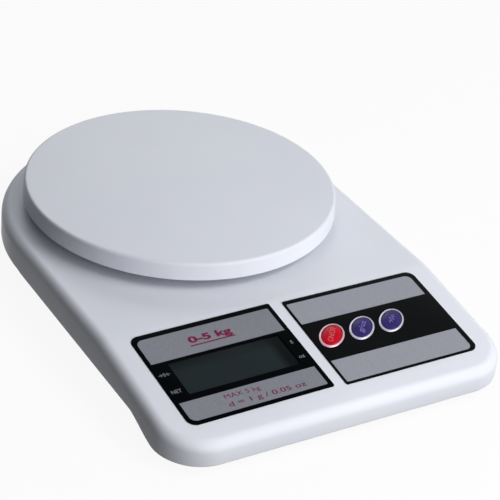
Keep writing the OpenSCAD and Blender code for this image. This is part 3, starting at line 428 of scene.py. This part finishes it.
# %% Circuit board, its parts, cells and leads
finish("board", (0.01, 0.10, 0.045), (0.02, 0.16, 0.07), (0.25, 0.40), patch=500, grain=700,
       relief=0.3, coat=0.4)
finish("chip_resin", (0.008, 0.008, 0.009), (0.016, 0.016, 0.017), (0.25, 0.45), patch=400,
       grain=900, relief=0.3)
finish("resistor_ceramic", (0.02, 0.02, 0.022), (0.06, 0.06, 0.06), (0.35, 0.55), patch=2500,
       grain=3000)
finish("capacitor_ceramic", (0.42, 0.30, 0.18), (0.52, 0.38, 0.24), (0.35, 0.50), patch=1500,
       grain=3000)
finish("sealant", (0.72, 0.70, 0.62), (0.80, 0.78, 0.70), (0.35, 0.55), patch=200, grain=500,
       relief=0.6, depth=0.1)
finish("cell_jacket", (0.38, 0.24, 0.06), (0.46, 0.30, 0.08), (0.22, 0.35), patch=80,
       grain=1500, metal=0.7, coat=0.3)
finish("red_lead", (0.42, 0.015, 0.015), (0.52, 0.02, 0.02), (0.35, 0.50), patch=300,
       grain=1500)
finish("black_lead", (0.012, 0.012, 0.013), (0.022, 0.022, 0.024), (0.35, 0.50), patch=300,
       grain=1500)
print("finishes:", len(FINISHES))

# %% [markdown]
# The display is off, so its window is a dark grey-green that fades to black towards its
# right end and its upper edge, where the display behind it ends and the housing shades it.
# Real glass over a real display would need light to find its way in and out again, so the
# fade is painted. It runs on Object coordinates that are first turned into the panel's
# frame: a Mapping node of the Texture kind undoes a move and a turn.

# %% The window's fade
def fade(tree, value, clear, dark, floor_value):
    """1 up to clear, falling smoothly to floor_value at dark."""
    edge = tree.nodes.new("ShaderNodeMapRange")
    edge.interpolation_type = "SMOOTHSTEP"
    edge.inputs["From Min"].default_value = clear
    edge.inputs["From Max"].default_value = dark
    edge.inputs["To Min"].default_value = 1.0
    edge.inputs["To Max"].default_value = floor_value
    tree.links.new(value, edge.inputs["Value"])
    return edge.outputs["Result"]


window_finish = finish("window_plastic", (0.0155, 0.0235, 0.0265), (0.0185, 0.027, 0.030),
                       (0.16, 0.22), patch=40, grain=900, relief=0.02, specular=0.02)
tree = window_finish.node_tree
coordinates = tree.nodes.new("ShaderNodeTexCoord")
into_panel = tree.nodes.new("ShaderNodeMapping")
into_panel.vector_type = "TEXTURE"
into_panel.inputs["Location"].default_value = PANEL.translation
into_panel.inputs["Rotation"].default_value = (TILT, 0, 0)
tree.links.new(coordinates.outputs["Object"], into_panel.inputs["Vector"])
axes = tree.nodes.new("ShaderNodeSeparateXYZ")
tree.links.new(into_panel.outputs["Vector"], axes.inputs[0])
strength = tree.nodes.new("ShaderNodeMath")
strength.operation = "MULTIPLY"
tree.links.new(fade(tree, axes.outputs["X"], -18.5 * MM, -12.5 * MM, 0.12), strength.inputs[0])
tree.links.new(fade(tree, axes.outputs["Y"], -29.5 * MM, -22.0 * MM, 0.4), strength.inputs[1])
shaded = tree.nodes.new("ShaderNodeMix")
shaded.data_type = "RGBA"
shader = tree.nodes["Principled BSDF"]
painted = shader.inputs["Base Color"].links[0].from_socket
tree.links.new(strength.outputs[0], shaded.inputs["Factor"])
shaded.inputs[6].default_value = (0.0015, 0.002, 0.003, 1)
tree.links.new(painted, shaded.inputs[7])
tree.links.new(shaded.outputs[2], shader.inputs["Base Color"])
print("the window fades to black at its right end and its upper edge")

# %% [markdown]
# The record of the CAD model says which finish each of its pieces has. The pieces that
# aren't modelled anew below keep their CAD shape, so a loop over the record dresses them
# all, and only their material slots change.

# %% Give every CAD piece its finish
for part in frame["record"]["subparts"]:
    piece = frame["nodes"][part["node"]]
    for holder in piece.material_slots:
        holder.material = FINISHES[part["material_slot"]]


# %% [markdown]
# ## Modelling helpers
#
# Every new piece starts as a bmesh, is shaped by operators and is written out once.
# Smooth shading with a sharpness angle keeps flat faces flat and round edges round.

# %% Write a bmesh out as a piece
SHARP = 32


def make_piece(bm, name, finish_name, body="base", stands_for=(), sharp=SHARP):
    """Makes the bmesh an object of one body, in place of the CAD pieces it stands for."""
    mesh = bpy.data.meshes.new(name)
    bm.to_mesh(mesh)
    bm.free()
    mesh.shade_smooth()
    mesh.set_sharp_from_angle(angle=math.radians(sharp))
    mesh.materials.append(FINISHES[finish_name])
    piece = bpy.data.objects.new(name, mesh)
    bpy.context.scene.collection.objects.link(piece)
    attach(piece, body)
    if stands_for:
        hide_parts(*stands_for)
    mesh.calc_loop_triangles()
    size = [round(1000 * d, 1) for d in piece.dimensions]
    print(f"{name}: {len(mesh.loop_triangles)} triangles, {size} mm")
    return piece


def tidy(bm):
    """Merges doubled points and turns the faces outwards."""
    bmesh.ops.remove_doubles(bm, verts=bm.verts, dist=TINY)
    bmesh.ops.recalc_face_normals(bm, faces=bm.faces)


def add(bm, other):
    """Moves another bmesh into this one."""
    carrier = bpy.data.meshes.new("carrier")
    other.to_mesh(carrier)
    other.free()
    bm.from_mesh(carrier)
    bpy.data.meshes.remove(carrier)


# %% Shapes that many pieces start from
def round_edges(bm, chosen, radius, segments):
    """Rounds the edges that the test chosen picks, and says how many they were."""
    edges = [e for e in bm.edges if chosen(e)]
    bmesh.ops.bevel(bm, geom=edges, offset=radius, offset_type="OFFSET", segments=segments,
                    profile=0.5, affect="EDGES", clamp_overlap=False, material=-1)
    return len(edges)


def plate(bm, low, high, corners=(0, 0, 0, 0), z=0.0):
    """A flat face from low to high. The corners' radii go round from low, anticlockwise."""
    (x0, y0), (x1, y1) = low, high
    made = bmesh.ops.create_grid(bm, x_segments=1, y_segments=1, size=0.5)["verts"]
    bmesh.ops.scale(bm, vec=(x1 - x0, y1 - y0, 1), verts=made)
    bmesh.ops.translate(bm, vec=((x0 + x1) / 2, (y0 + y1) / 2, z), verts=made)
    for (x, y), radius in zip(((x0, y0), (x1, y0), (x1, y1), (x0, y1)), corners):
        spot = Vector((x, y, z))
        corner = [v for v in bm.verts if (v.co - spot).length < TINY]
        if radius:
            bmesh.ops.bevel(bm, geom=corner, offset=radius, offset_type="OFFSET",
                            segments=8 + round(radius / MM / 2), profile=0.5,
                            affect="VERTICES", clamp_overlap=False, material=-1)
    bmesh.ops.remove_doubles(bm, verts=bm.verts, dist=TINY)


def slab(low, high, corners, z0, z1, edge=0.0):
    """A plate drawn out from z0 to z1, with its upper edge rounded."""
    bm = bmesh.new()
    plate(bm, low, high, corners, z0)
    grown = bmesh.ops.extrude_face_region(bm, geom=bm.faces[:], use_keep_orig=True)["geom"]
    top = [v for v in grown if isinstance(v, bmesh.types.BMVert)]
    bmesh.ops.translate(bm, vec=(0, 0, z1 - z0), verts=top)
    tidy(bm)
    if edge:
        def upper(e):
            return all(abs(v.co.z - z1) < TINY for v in e.verts)
        round_edges(bm, upper, edge, 3)
    return bm


def turned(profile, steps=64):
    """A closed outline of (radius, height) points turned round the z axis."""
    bm = bmesh.new()
    points = [bm.verts.new((r, 0, z)) for r, z in profile]
    lines = [bm.edges.new((a, b)) for a, b in zip(points, points[1:] + points[:1])
             if a.co.x or b.co.x]
    bmesh.ops.spin(bm, geom=points + lines, cent=(0, 0, 0), axis=(0, 0, 1),
                   angle=math.tau, steps=steps, use_merge=True)
    tidy(bm)
    return bm


def on_circle(radius, height):
    """Picks the edges of a turned shape that run round it at this radius and height."""
    def chosen(e):
        return all(abs(math.hypot(v.co.x, v.co.y) - radius) < 10 * TINY
                   and abs(v.co.z - height) < 10 * TINY for v in e.verts)
    return chosen


def placed(bm, place):
    """Moves a bmesh by a matrix and hands it on."""
    bmesh.ops.transform(bm, matrix=place, verts=bm.verts)
    return bm


# %% Cut a piece with a tool shape
def carve(piece, tool):
    """Takes a bmesh away from a piece, as a cutter would."""
    cutter_mesh = bpy.data.meshes.new("cutter")
    tool.to_mesh(cutter_mesh)
    tool.free()
    cutter = bpy.data.objects.new("cutter", cutter_mesh)
    bpy.context.scene.collection.objects.link(cutter)
    cut = piece.modifiers.new("cut", "BOOLEAN")
    cut.operation = "DIFFERENCE"
    cut.solver = "EXACT"
    cut.object = cutter
    depsgraph = bpy.context.evaluated_depsgraph_get()
    carved = bpy.data.meshes.new_from_object(piece.evaluated_get(depsgraph))
    piece.modifiers.remove(cut)
    whole = piece.data
    piece.data = carved
    carved.name = whole.name + "_cut"
    bpy.data.meshes.remove(whole)
    bpy.data.objects.remove(cutter)
    bpy.data.meshes.remove(cutter_mesh)


# %% [markdown]
# ## The upper housing
#
# On the real scale this is one thin moulding: round at the back, square with round
# corners at the front, level under the pan and sloping under the display. A subdivision
# surface would make its flat areas bulge, so the form is built the way a machinist would:
# a plan with round corners, walls pulled down from its edge, cuts across where the height
# changes, one rounded edge all round the top, and a wall of even thickness at the end.

# %% Heights along the housing
SIDE_LIFT = 9.8
FRONT_LIFT = 4
FOLD_R = 30 * MM
FOLD_START = FOLD_Y + FOLD_R * math.tan(TILT / 2)
FOLD_END = FOLD_START - FOLD_R * math.sin(TILT)
STEP_HIGH = FRONT_Y + 45.5 * MM
STEP_LOW = FRONT_Y + 18.7 * MM


def top_height(y):
    """Level, then a soft fold, then the sloping panel."""
    if y >= FOLD_START:
        return BODY_TOP
    if y > FOLD_END:
        return BODY_TOP - FOLD_R + math.sqrt(FOLD_R**2 - (FOLD_START - y) ** 2)
    return BODY_TOP - (FOLD_Y - y) * math.tan(TILT)


def skirt_height(y):
    """The skirt's lower edge lies higher at the sides and the back than at the front."""
    t = min(1.0, max(0.0, (STEP_HIGH - y) / (STEP_HIGH - STEP_LOW)))
    return (SIDE_LIFT + (FRONT_LIFT - SIDE_LIFT) * t * t * (3 - 2 * t)) * MM


print("top from", round(top_height(FRONT_Y) / MM, 1), "to", round(top_height(0) / MM, 1), "mm,",
      "skirt from", round(skirt_height(FRONT_Y) / MM, 1), "to", round(skirt_height(0) / MM, 1))

# %% [markdown]
# The skin begins as a flat plan at the height of the top. Its rim is pulled down as the
# wall, cuts across it give the form its bends, and each point then takes its height from
# the two functions above: points of the top from one, points of the skirt from the other.

# %% Outer skin of the upper housing
CORNER_R = 21.2 * MM
TOP_ROUND = 4.8 * MM
shell = bmesh.new()
plate(shell, (-BODY_W / 2, FRONT_Y), (BODY_W / 2, -FRONT_Y),
      (CORNER_R, CORNER_R, BODY_W / 2, BODY_W / 2), BODY_TOP)
rim = [e for e in shell.edges if e.is_boundary]
pulled = bmesh.ops.extrude_edge_only(shell, edges=rim)["geom"]
lower = [v for v in pulled if isinstance(v, bmesh.types.BMVert)]
bmesh.ops.translate(shell, vec=(0, 0, -BODY_TOP), verts=lower)

cuts = [FOLD_END + (FOLD_START - FOLD_END) * i / 8 for i in range(9)]
cuts += [STEP_LOW + (STEP_HIGH - STEP_LOW) * i / 16 for i in range(17)]
for y in cuts:
    bmesh.ops.bisect_plane(shell, geom=shell.verts[:] + shell.edges[:] + shell.faces[:],
                           plane_co=(0, y, 0), plane_no=(0, 1, 0))
for v in shell.verts:
    v.co.z = top_height(v.co.y) if v.co.z > BODY_TOP / 2 else skirt_height(v.co.y)
shell.normal_update()


def is_top_edge(e):
    """An edge between the top and a wall."""
    return len(e.link_faces) == 2 and sum(abs(f.normal.z) < 0.5 for f in e.link_faces) == 1


print("edges rounded round the top:", round_edges(shell, is_top_edge, TOP_ROUND, 10))
tidy(shell)

# %% [markdown]
# A mould needs walls of even thickness, and Solidify gives just that, inwards from the
# skin. The lip at the skirt's foot is then rounded on its outer side, where a hand lifts
# the scale.

# %% Wall thickness and the rounded lip
WALL = 2.2 * MM
LIP_R = 0.9 * MM
bmesh.ops.solidify(shell, geom=shell.faces[:], thickness=WALL)
shell.normal_update()


def is_lip(e):
    """An edge between the skirt's lower face and its outer wall."""
    if len(e.link_faces) != 2:
        return False
    down = [f for f in e.link_faces if f.normal.z < -0.7]
    side = [f for f in e.link_faces if abs(f.normal.z) < 0.5]
    if len(down) != 1 or len(side) != 1:
        return False
    middle = (e.verts[0].co + e.verts[1].co) / 2
    return side[0].normal.x * middle.x + side[0].normal.y * middle.y > 0


print("lip edges rounded:", round_edges(shell, is_lip, LIP_R, 4))
housing = make_piece(shell, "housing_shell", "housing_plastic",
                     stands_for=["upper_housing"])

# %% [markdown]
# The housing has five openings: a slot for the load cell's hub, which the pan hides, the
# stepped seat of the display window, and one oval hole for each key. The keys lie aslant
# on the slope. Each opening is taken away with a tool shape, so its edges stay crisp. An
# oval comes from a turned bar that is drawn out along one axis.

# %% Openings in the housing
WINDOW = Vector((-36.7, -31.9)) * MM
WINDOW_HALF = Vector((27.2, 9.95)) * MM
LENS_HALF = WINDOW_HALF + Vector((1.5, 1.5)) * MM
KEY_X = [13.0 * MM, 28.7 * MM, 44.4 * MM]
KEY_Y = -30.2 * MM
KEY_TURN = math.radians(42)
KEY_HALF = Vector((7.05, 4.3)) * MM
KEY_HOLE = Vector((7.3, 4.55)) * MM
HUB_Y = 12.95 * MM
HUB_SLOT_R = 9.65 * MM
HUB_SLOT_HALF_L = 15 * MM


def at_key(x):
    """The place of a key: the panel's frame, moved to the key and turned along it."""
    return PANEL @ Matrix.Translation((x, KEY_Y, 0)) @ Matrix.Rotation(KEY_TURN, 4, "Z")


def oval_cutter(low, high):
    """A bar for a key's hole, from low to high over the panel."""
    half_w = KEY_HOLE.y
    bar = turned([(0, low), (half_w, low), (half_w, high), (0, high)], 64)
    bmesh.ops.scale(bar, vec=(KEY_HOLE.x / half_w, 1, 1), verts=bar.verts)
    return bar


seat = LENS_HALF + Vector((0.25, 0.25)) * MM
carve(housing, placed(slab(WINDOW - WINDOW_HALF, WINDOW + WINDOW_HALF, (0,) * 4,
                           -4 * MM, 1 * MM), PANEL))
carve(housing, placed(slab(WINDOW - seat, WINDOW + seat, (0.4 * MM,) * 4,
                           -1.2 * MM, 1 * MM), PANEL))
for x in KEY_X:
    carve(housing, placed(oval_cutter(-4 * MM, 2 * MM), at_key(x)))
carve(housing, slab((-HUB_SLOT_R, HUB_Y - HUB_SLOT_HALF_L), (HUB_SLOT_R, HUB_Y + HUB_SLOT_HALF_L),
                    (HUB_SLOT_R,) * 4, 20 * MM, 26 * MM))
print("housing with openings:", len(housing.data.polygons), "faces")

# %% [markdown]
# Inside, six long bosses take the screws from below and four short ones hold the board.
# They are hollow posts, so each is turned from a rectangle beside the axis. They join the
# housing as they are: a cut or a weld would add nothing that can be seen.


# %% Screw bosses inside the housing
def boss(radius, hole, low, high, place):
    """A hollow post of this radius round a hole, from low to high."""
    return placed(turned([(hole, low), (radius, low), (radius, high), (hole, high)], 32), place)


bosses = bmesh.new()
for x, y in ((50, 90.25), (73, 11.25)):
    for side in (-1, 1):
        spot = Matrix.Translation((side * x * MM, y * MM, 0))
        add(bosses, boss(3.6 * MM, 1.5 * MM, 8 * MM, 23.4 * MM, spot))
for side in (-1, 1):
    spot = Matrix.Translation((side * 75.5 * MM, -100.05 * MM, 0))
    add(bosses, boss(3.6 * MM, 1.5 * MM, 8 * MM, 16.6 * MM, spot))
for x in (-66.4, 55.4):
    for y in (-11.1, -52.4):
        spot = PANEL @ Matrix.Translation((x * MM, y * MM, 0))
        add(bosses, boss(2.7 * MM, 1 * MM, -8 * MM, -1.1 * MM, spot))
bosses.from_mesh(housing.data)
bosses.to_mesh(housing.data)
bosses.free()
housing.data.shade_smooth()
housing.data.set_sharp_from_angle(angle=math.radians(SHARP))
print("housing with bosses:", len(housing.data.polygons), "faces")

# %% [markdown]
# ## The weighing pan
#
# The pan is a shallow round lid with its rim turned down. Anything round is turned: one
# section, from the middle of the top out over the edge and back under it, spun once
# round the pan's axis. Ribs and four sockets under it keep the real pan stiff and carry
# it on its four pegs.

# %% Turn the pan
PAN_Y = 38.45 * MM
PAN_TOP = 38 * MM
PAN_UNDER = 36 * MM
PAN_RIM = 29.5 * MM
PAN_R = 74 * MM
RIM_OUTER_R = 74.5 * MM
RIM_INNER_R = 72 * MM
RIM_ROUND = 0.5 * MM
RIB_FOOT = 33.2 * MM
section = [(0, PAN_TOP), (PAN_R, PAN_TOP), (RIM_OUTER_R, PAN_RIM), (RIM_INNER_R, PAN_RIM),
           (RIM_INNER_R, PAN_UNDER)]
for outer, inner in ((61.3 * MM, 60 * MM), (27.3 * MM, 26 * MM)):
    section += [(outer, PAN_UNDER), (outer, RIB_FOOT), (inner, RIB_FOOT), (inner, PAN_UNDER)]
pan = turned(section + [(0, PAN_UNDER)], 192)
round_edges(pan, on_circle(PAN_R, PAN_TOP), 1.5 * MM, 8)
round_edges(pan, on_circle(RIM_OUTER_R, PAN_RIM), RIM_ROUND, 4)
round_edges(pan, on_circle(RIM_INNER_R, PAN_RIM), RIM_ROUND, 4)
tidy(pan)
print("the turned pan has", len(pan.faces), "faces")

# %% Straight ribs and sockets under the pan
RIB_HALF_T = 0.65 * MM
SOCKET_SPOT = Matrix.Translation((44 * MM, 0, 0))
for i in range(12):
    rib = slab((26.6 * MM, -RIB_HALF_T), (73 * MM, RIB_HALF_T), (0,) * 4, RIB_FOOT,
               PAN_UNDER + 1 * MM)
    add(pan, placed(rib, Matrix.Rotation(math.radians(30 * i + 15), 4, "Z")))
for i in range(4):
    spot = Matrix.Rotation(math.radians(45 + 90 * i), 4, "Z") @ SOCKET_SPOT
    add(pan, boss(4.5 * MM, 2.05 * MM, 33 * MM, PAN_UNDER + 0.5 * MM, spot))
placed(pan, Matrix.Translation((0, PAN_Y, 0)))
make_piece(pan, "round_pan", "pan_plastic", body="pan",
           stands_for=["weighing_pan"], sharp=40)

# %% [markdown]
# ## The two printed films
#
# Each film is a thin gloss-black sheet with two silver-grey bands printed on it. The
# outer corners are round and the inner ones nearly square. The left film was stuck on
# slightly out of square, and that small fault stays, because the photograph shows it.

# %% Film sheets
FILM_T = 0.4 * MM
FILM_HALF_D = 28.2
ASKEW = Matrix.Rotation(math.radians(0.8), 4, "Z")
DISPLAY_FILM = PANEL @ Matrix.Translation((-37.7 * MM, -30.65 * MM, 0)) @ ASKEW
KEYPAD_FILM = PANEL @ Matrix.Translation((37.65 * MM, -31.3 * MM, 0))


def film(name, width, corners, place, finish_name, stands_for):
    """A film of this width in mm, with its upper edge broken, as a die leaves it."""
    half = Vector((width / 2, FILM_HALF_D)) * MM
    sheet = slab(-half, half, [c * MM for c in corners], 0, FILM_T, 0.12 * MM)
    return make_piece(placed(sheet, place), name, finish_name, stands_for=[stands_for])


display_film = film("display_sheet", 69.8, (4.2, 1, 1, 4.2), DISPLAY_FILM,
                    "display_film", "display_overlay")
shift = Vector((1.0, -1.25)) * MM
carve(display_film, placed(slab(shift - WINDOW_HALF, shift + WINDOW_HALF, (0.4 * MM,) * 4,
                                -1 * MM, 2 * MM), DISPLAY_FILM))
keypad_film = film("keypad_sheet", 69.7, (1, 4.2, 4.2, 1), KEYPAD_FILM,
                   "keypad_film", "keypad_overlay")
for x in KEY_X:
    carve(keypad_film, placed(oval_cutter(-2 * MM, 2 * MM), at_key(x)))

# %% [markdown]
# The silver bands are ink, so they have nearly no thickness. A painted texture could show
# them, but separate thin slabs keep their edges sharp however near the camera comes. Their
# outer corners follow the film's own, a little inside them.

# %% Silver bands
INK = 0.03 * MM


def band(film_name, side, left, bottom, right, top, corners, place):
    """A band of ink between these edges, in mm from the film's middle."""
    patch = slab(Vector((left, bottom)) * MM, Vector((right, top)) * MM,
                 [c * MM for c in corners], FILM_T - INK, FILM_T + INK)
    return make_piece(placed(patch, place), f"{film_name}_band_{side}", f"{film_name}_band_ink")


band("display", "top", -33.0, 10.1, 32.6, 25.3, (0, 0, 0.6, 3.2), DISPLAY_FILM)
band("display", "bottom", -33.0, -26.2, 32.6, -14.7, (3.2, 0.6, 0, 0), DISPLAY_FILM)
band("keypad", "top", -33.75, 11.75, 32.1, 25.65, (0, 0, 3.0, 0.6), KEYPAD_FILM)
band("keypad", "bottom", -33.75, -26.95, 32.1, -13.2, (0.6, 3.0, 0, 0), KEYPAD_FILM)

# %% [markdown]
# ## Printed marks
#
# The marks are plain ones that any scale may carry: a zero, the units, a range and
# ON/OFF. Each is a text curve that is made a mesh first and placed after that, with a
# little thickness, so it lies on the film as ink does.

# %% Text as a thin mesh
def lettering(words, height, width=None, weight=0.0):
    """A bmesh of the words, centred on the origin, with capitals of this height."""
    curve = bpy.data.curves.new("words", "FONT")
    curve.body = words
    curve.size = height / 0.7
    curve.align_x = "CENTER"
    curve.align_y = "CENTER"
    curve.extrude = INK
    curve.offset = weight * height
    holder = bpy.data.objects.new("words", curve)
    bpy.context.scene.collection.objects.link(holder)
    depsgraph = bpy.context.evaluated_depsgraph_get()
    flat = bpy.data.meshes.new_from_object(holder.evaluated_get(depsgraph))
    bm = bmesh.new()
    bm.from_mesh(flat)
    tidy(bm)
    bpy.data.meshes.remove(flat)
    bpy.data.objects.remove(holder)
    bpy.data.curves.remove(curve)
    across = [v.co.x for v in bm.verts]
    middle = (max(across) + min(across)) / 2
    bmesh.ops.translate(bm, vec=(-middle, 0, 0), verts=bm.verts)
    if width:
        bmesh.ops.scale(bm, vec=(width / (max(across) - min(across)), 1, 1), verts=bm.verts)
    return bm


def mark(name, words, height, x, y, ink, width, weight):
    """Words on the left film, their middle at x and y, in mm from the film's own."""
    bm = lettering(words, height * MM, width * MM, weight)
    placed(bm, DISPLAY_FILM @ Matrix.Translation((x * MM, y * MM, FILM_T + INK)))
    return make_piece(bm, name, ink)


mark("mark_zero", "→0←", 2.0, -30.7, 2.65, "white_ink", 5.4, 0.01)
mark("mark_net", "NET", 2.0, -30.6, -8.05, "white_ink", 4.8, 0.01)
mark("mark_g", "g", 2.0, 31.4, 2.75, "white_ink", 1.3, 0.01)
mark("mark_oz", "oz", 2.0, 30.9, -7.25, "white_ink", 2.9, 0.01)
mark("mark_range", "0-5 kg", 3.6, -0.5, 18.1, "red_ink", 21, 0.06)
mark("mark_max", "MAX 5 kg", 2.5, -4.9, -18.0, "red_ink", 17.0, 0)
mark("mark_step", "d = 1 g / 0.05 oz", 2.5, 4.9, -22.7, "red_ink", 37.5, 0.012)
line = slab(Vector((-11.5, 14.4)) * MM, Vector((10.4, 15.1)) * MM, (0,) * 4, FILM_T,
            FILM_T + 2 * INK)
make_piece(placed(line, DISPLAY_FILM), "mark_underline", "red_ink")

# %% [markdown]
# ## The display window
#
# The window is a dark acrylic lens that sits flush in its seat, under the film's opening.
# The display behind it is off, so it looks dark grey-green.

# %% Lens
lens = slab(WINDOW - LENS_HALF, WINDOW + LENS_HALF, (0.3 * MM,) * 4, -1.2 * MM, 0, 0.1 * MM)
make_piece(placed(lens, PANEL), "window_lens", "window_plastic",
           stands_for=["display_window"])

# %% [markdown]
# ## The keys
#
# Each key is a low oval dome in a bright ring, aslant on the film, with its mark along its
# length. A turned shape is round, so a cap is turned to the key's width and then drawn out
# to its length. The cap has a flange under the housing that keeps it from falling out, and
# a plunger that presses its switch.

# %% Key caps
CAP_RIM = 0.7 * MM
CAP_DOME = 0.9 * MM
CAP_ROUND = 0.35 * MM
UNDER_CAP = ((4.3, -2.3), (5.1, -2.3), (5.1, -3.3), (1.7, -3.3), (1.7, -3.6), (0, -3.6))


def dome_height(x, y):
    """Height of the cap's face over the panel, a shallow bowl turned over."""
    return CAP_RIM + CAP_DOME * (1 - (x / KEY_HALF.x) ** 2 - (y / KEY_HALF.y) ** 2)


def key_cap(name, x, finish_name, body, stands_for):
    """A cap with its dome, then its flange and plunger, of which UNDER_CAP is the outline."""
    half_w = KEY_HALF.y
    outline = [(half_w * i / 8, dome_height(0, half_w * i / 8)) for i in range(9)]
    outline += [(r * MM, z * MM) for r, z in UNDER_CAP]
    cap = turned(outline, 64)
    round_edges(cap, on_circle(half_w, CAP_RIM), CAP_ROUND, 4)
    bmesh.ops.scale(cap, vec=(KEY_HALF.x / half_w, 1, 1), verts=cap.verts)
    return make_piece(placed(cap, at_key(x)), name, finish_name, body=body,
                      stands_for=[stands_for])


key_cap("red_cap", KEY_X[0], "red_key", "power_button", "power_key")
key_cap("middle_cap", KEY_X[1], "blue_key", "unit_button", "unit_key")
key_cap("right_cap", KEY_X[2], "blue_key", "tare_button", "tare_key")

# %% [markdown]
# A mark on a dome has to bend with it. The letters are flat faces, so they are first cut
# into narrow strips both ways, and then each point is lifted to the dome's height.

# %% Marks on the keys
STRIP = 0.45 * MM


def key_mark(name, words, height, width, turn, x, body, ink):
    """Words bent on a key's dome, turned by a few degrees from its length."""
    bm = lettering(words, height * MM, width * MM, 0.01)
    for axis in (Vector((1, 0, 0)), Vector((0, 1, 0))):
        for i in range(-14, 15):
            bmesh.ops.bisect_plane(bm, geom=bm.verts[:] + bm.edges[:] + bm.faces[:],
                                   plane_co=axis * (STRIP * i), plane_no=axis)
    placed(bm, Matrix.Rotation(math.radians(turn), 4, "Z"))
    for v in bm.verts:
        v.co.z += dome_height(v.co.x, v.co.y)
    return make_piece(placed(bm, at_key(x)), name, ink, body=body)


key_mark("red_cap_mark", "ON/OFF", 2.5, 9.8, 8, KEY_X[0], "power_button", "red_key_ink")
key_mark("middle_cap_mark", "g/oz", 2.5, 7.8, 6, KEY_X[1], "unit_button", "blue_key_ink")
key_mark("right_cap_mark", "→0←", 2.5, 6.6, 0, KEY_X[2], "tare_button", "blue_key_ink")

# %% [markdown]
# The three rings are one node in the CAD model, so they become one piece here. Each slopes
# down outwards, so its front catches the light and its back stays thin and dim. It is
# wider at the key's ends than at its sides, so the turned ring isn't just drawn out: each
# point moves to an oval between the ring's inner and outer one. The ring round the red key
# has the second material of the piece, with a painted reflection of the red cap in its colour.

# %% Rings
RING_HALF = Vector((8.4, 5.4)) * MM


def key_ring(x):
    """A ring round the key at x, first turned and then drawn to its oval."""
    low, edge, top = 0.35 * MM, 0.5 * MM, 0.8 * MM
    inner, outer, crest = KEY_HOLE.y, RING_HALF.y, KEY_HOLE.y + 0.3 * MM
    ring = turned([(inner, low), (outer, low), (outer, edge), (crest, top), (inner, top)], 64)
    round_edges(ring, on_circle(outer, edge), 0.1 * MM, 3)
    round_edges(ring, on_circle(crest, top), 0.15 * MM, 3)
    for v in ring.verts:
        radius = math.hypot(v.co.x, v.co.y)
        half = KEY_HOLE.lerp(RING_HALF, (radius - inner) / (outer - inner))
        v.co.x *= half.x / radius
        v.co.y *= half.y / radius
    return placed(ring, at_key(x))


rings = key_ring(KEY_X[0])
for face in rings.faces:
    face.material_index = 1
for x in KEY_X[1:]:
    add(rings, key_ring(x))
bright_rings = make_piece(rings, "bright_rings", "ring_metal", stands_for=["key_rings"])
# The red key's ring takes the finish with the painted reflection of the red cap.
bright_rings.data.materials.append(FINISHES["power_ring_metal"])

# %% [markdown]
# ## Finish
#
# The last line measures the box round the dressed model.

# %% Measure the dressed model's box
low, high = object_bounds()
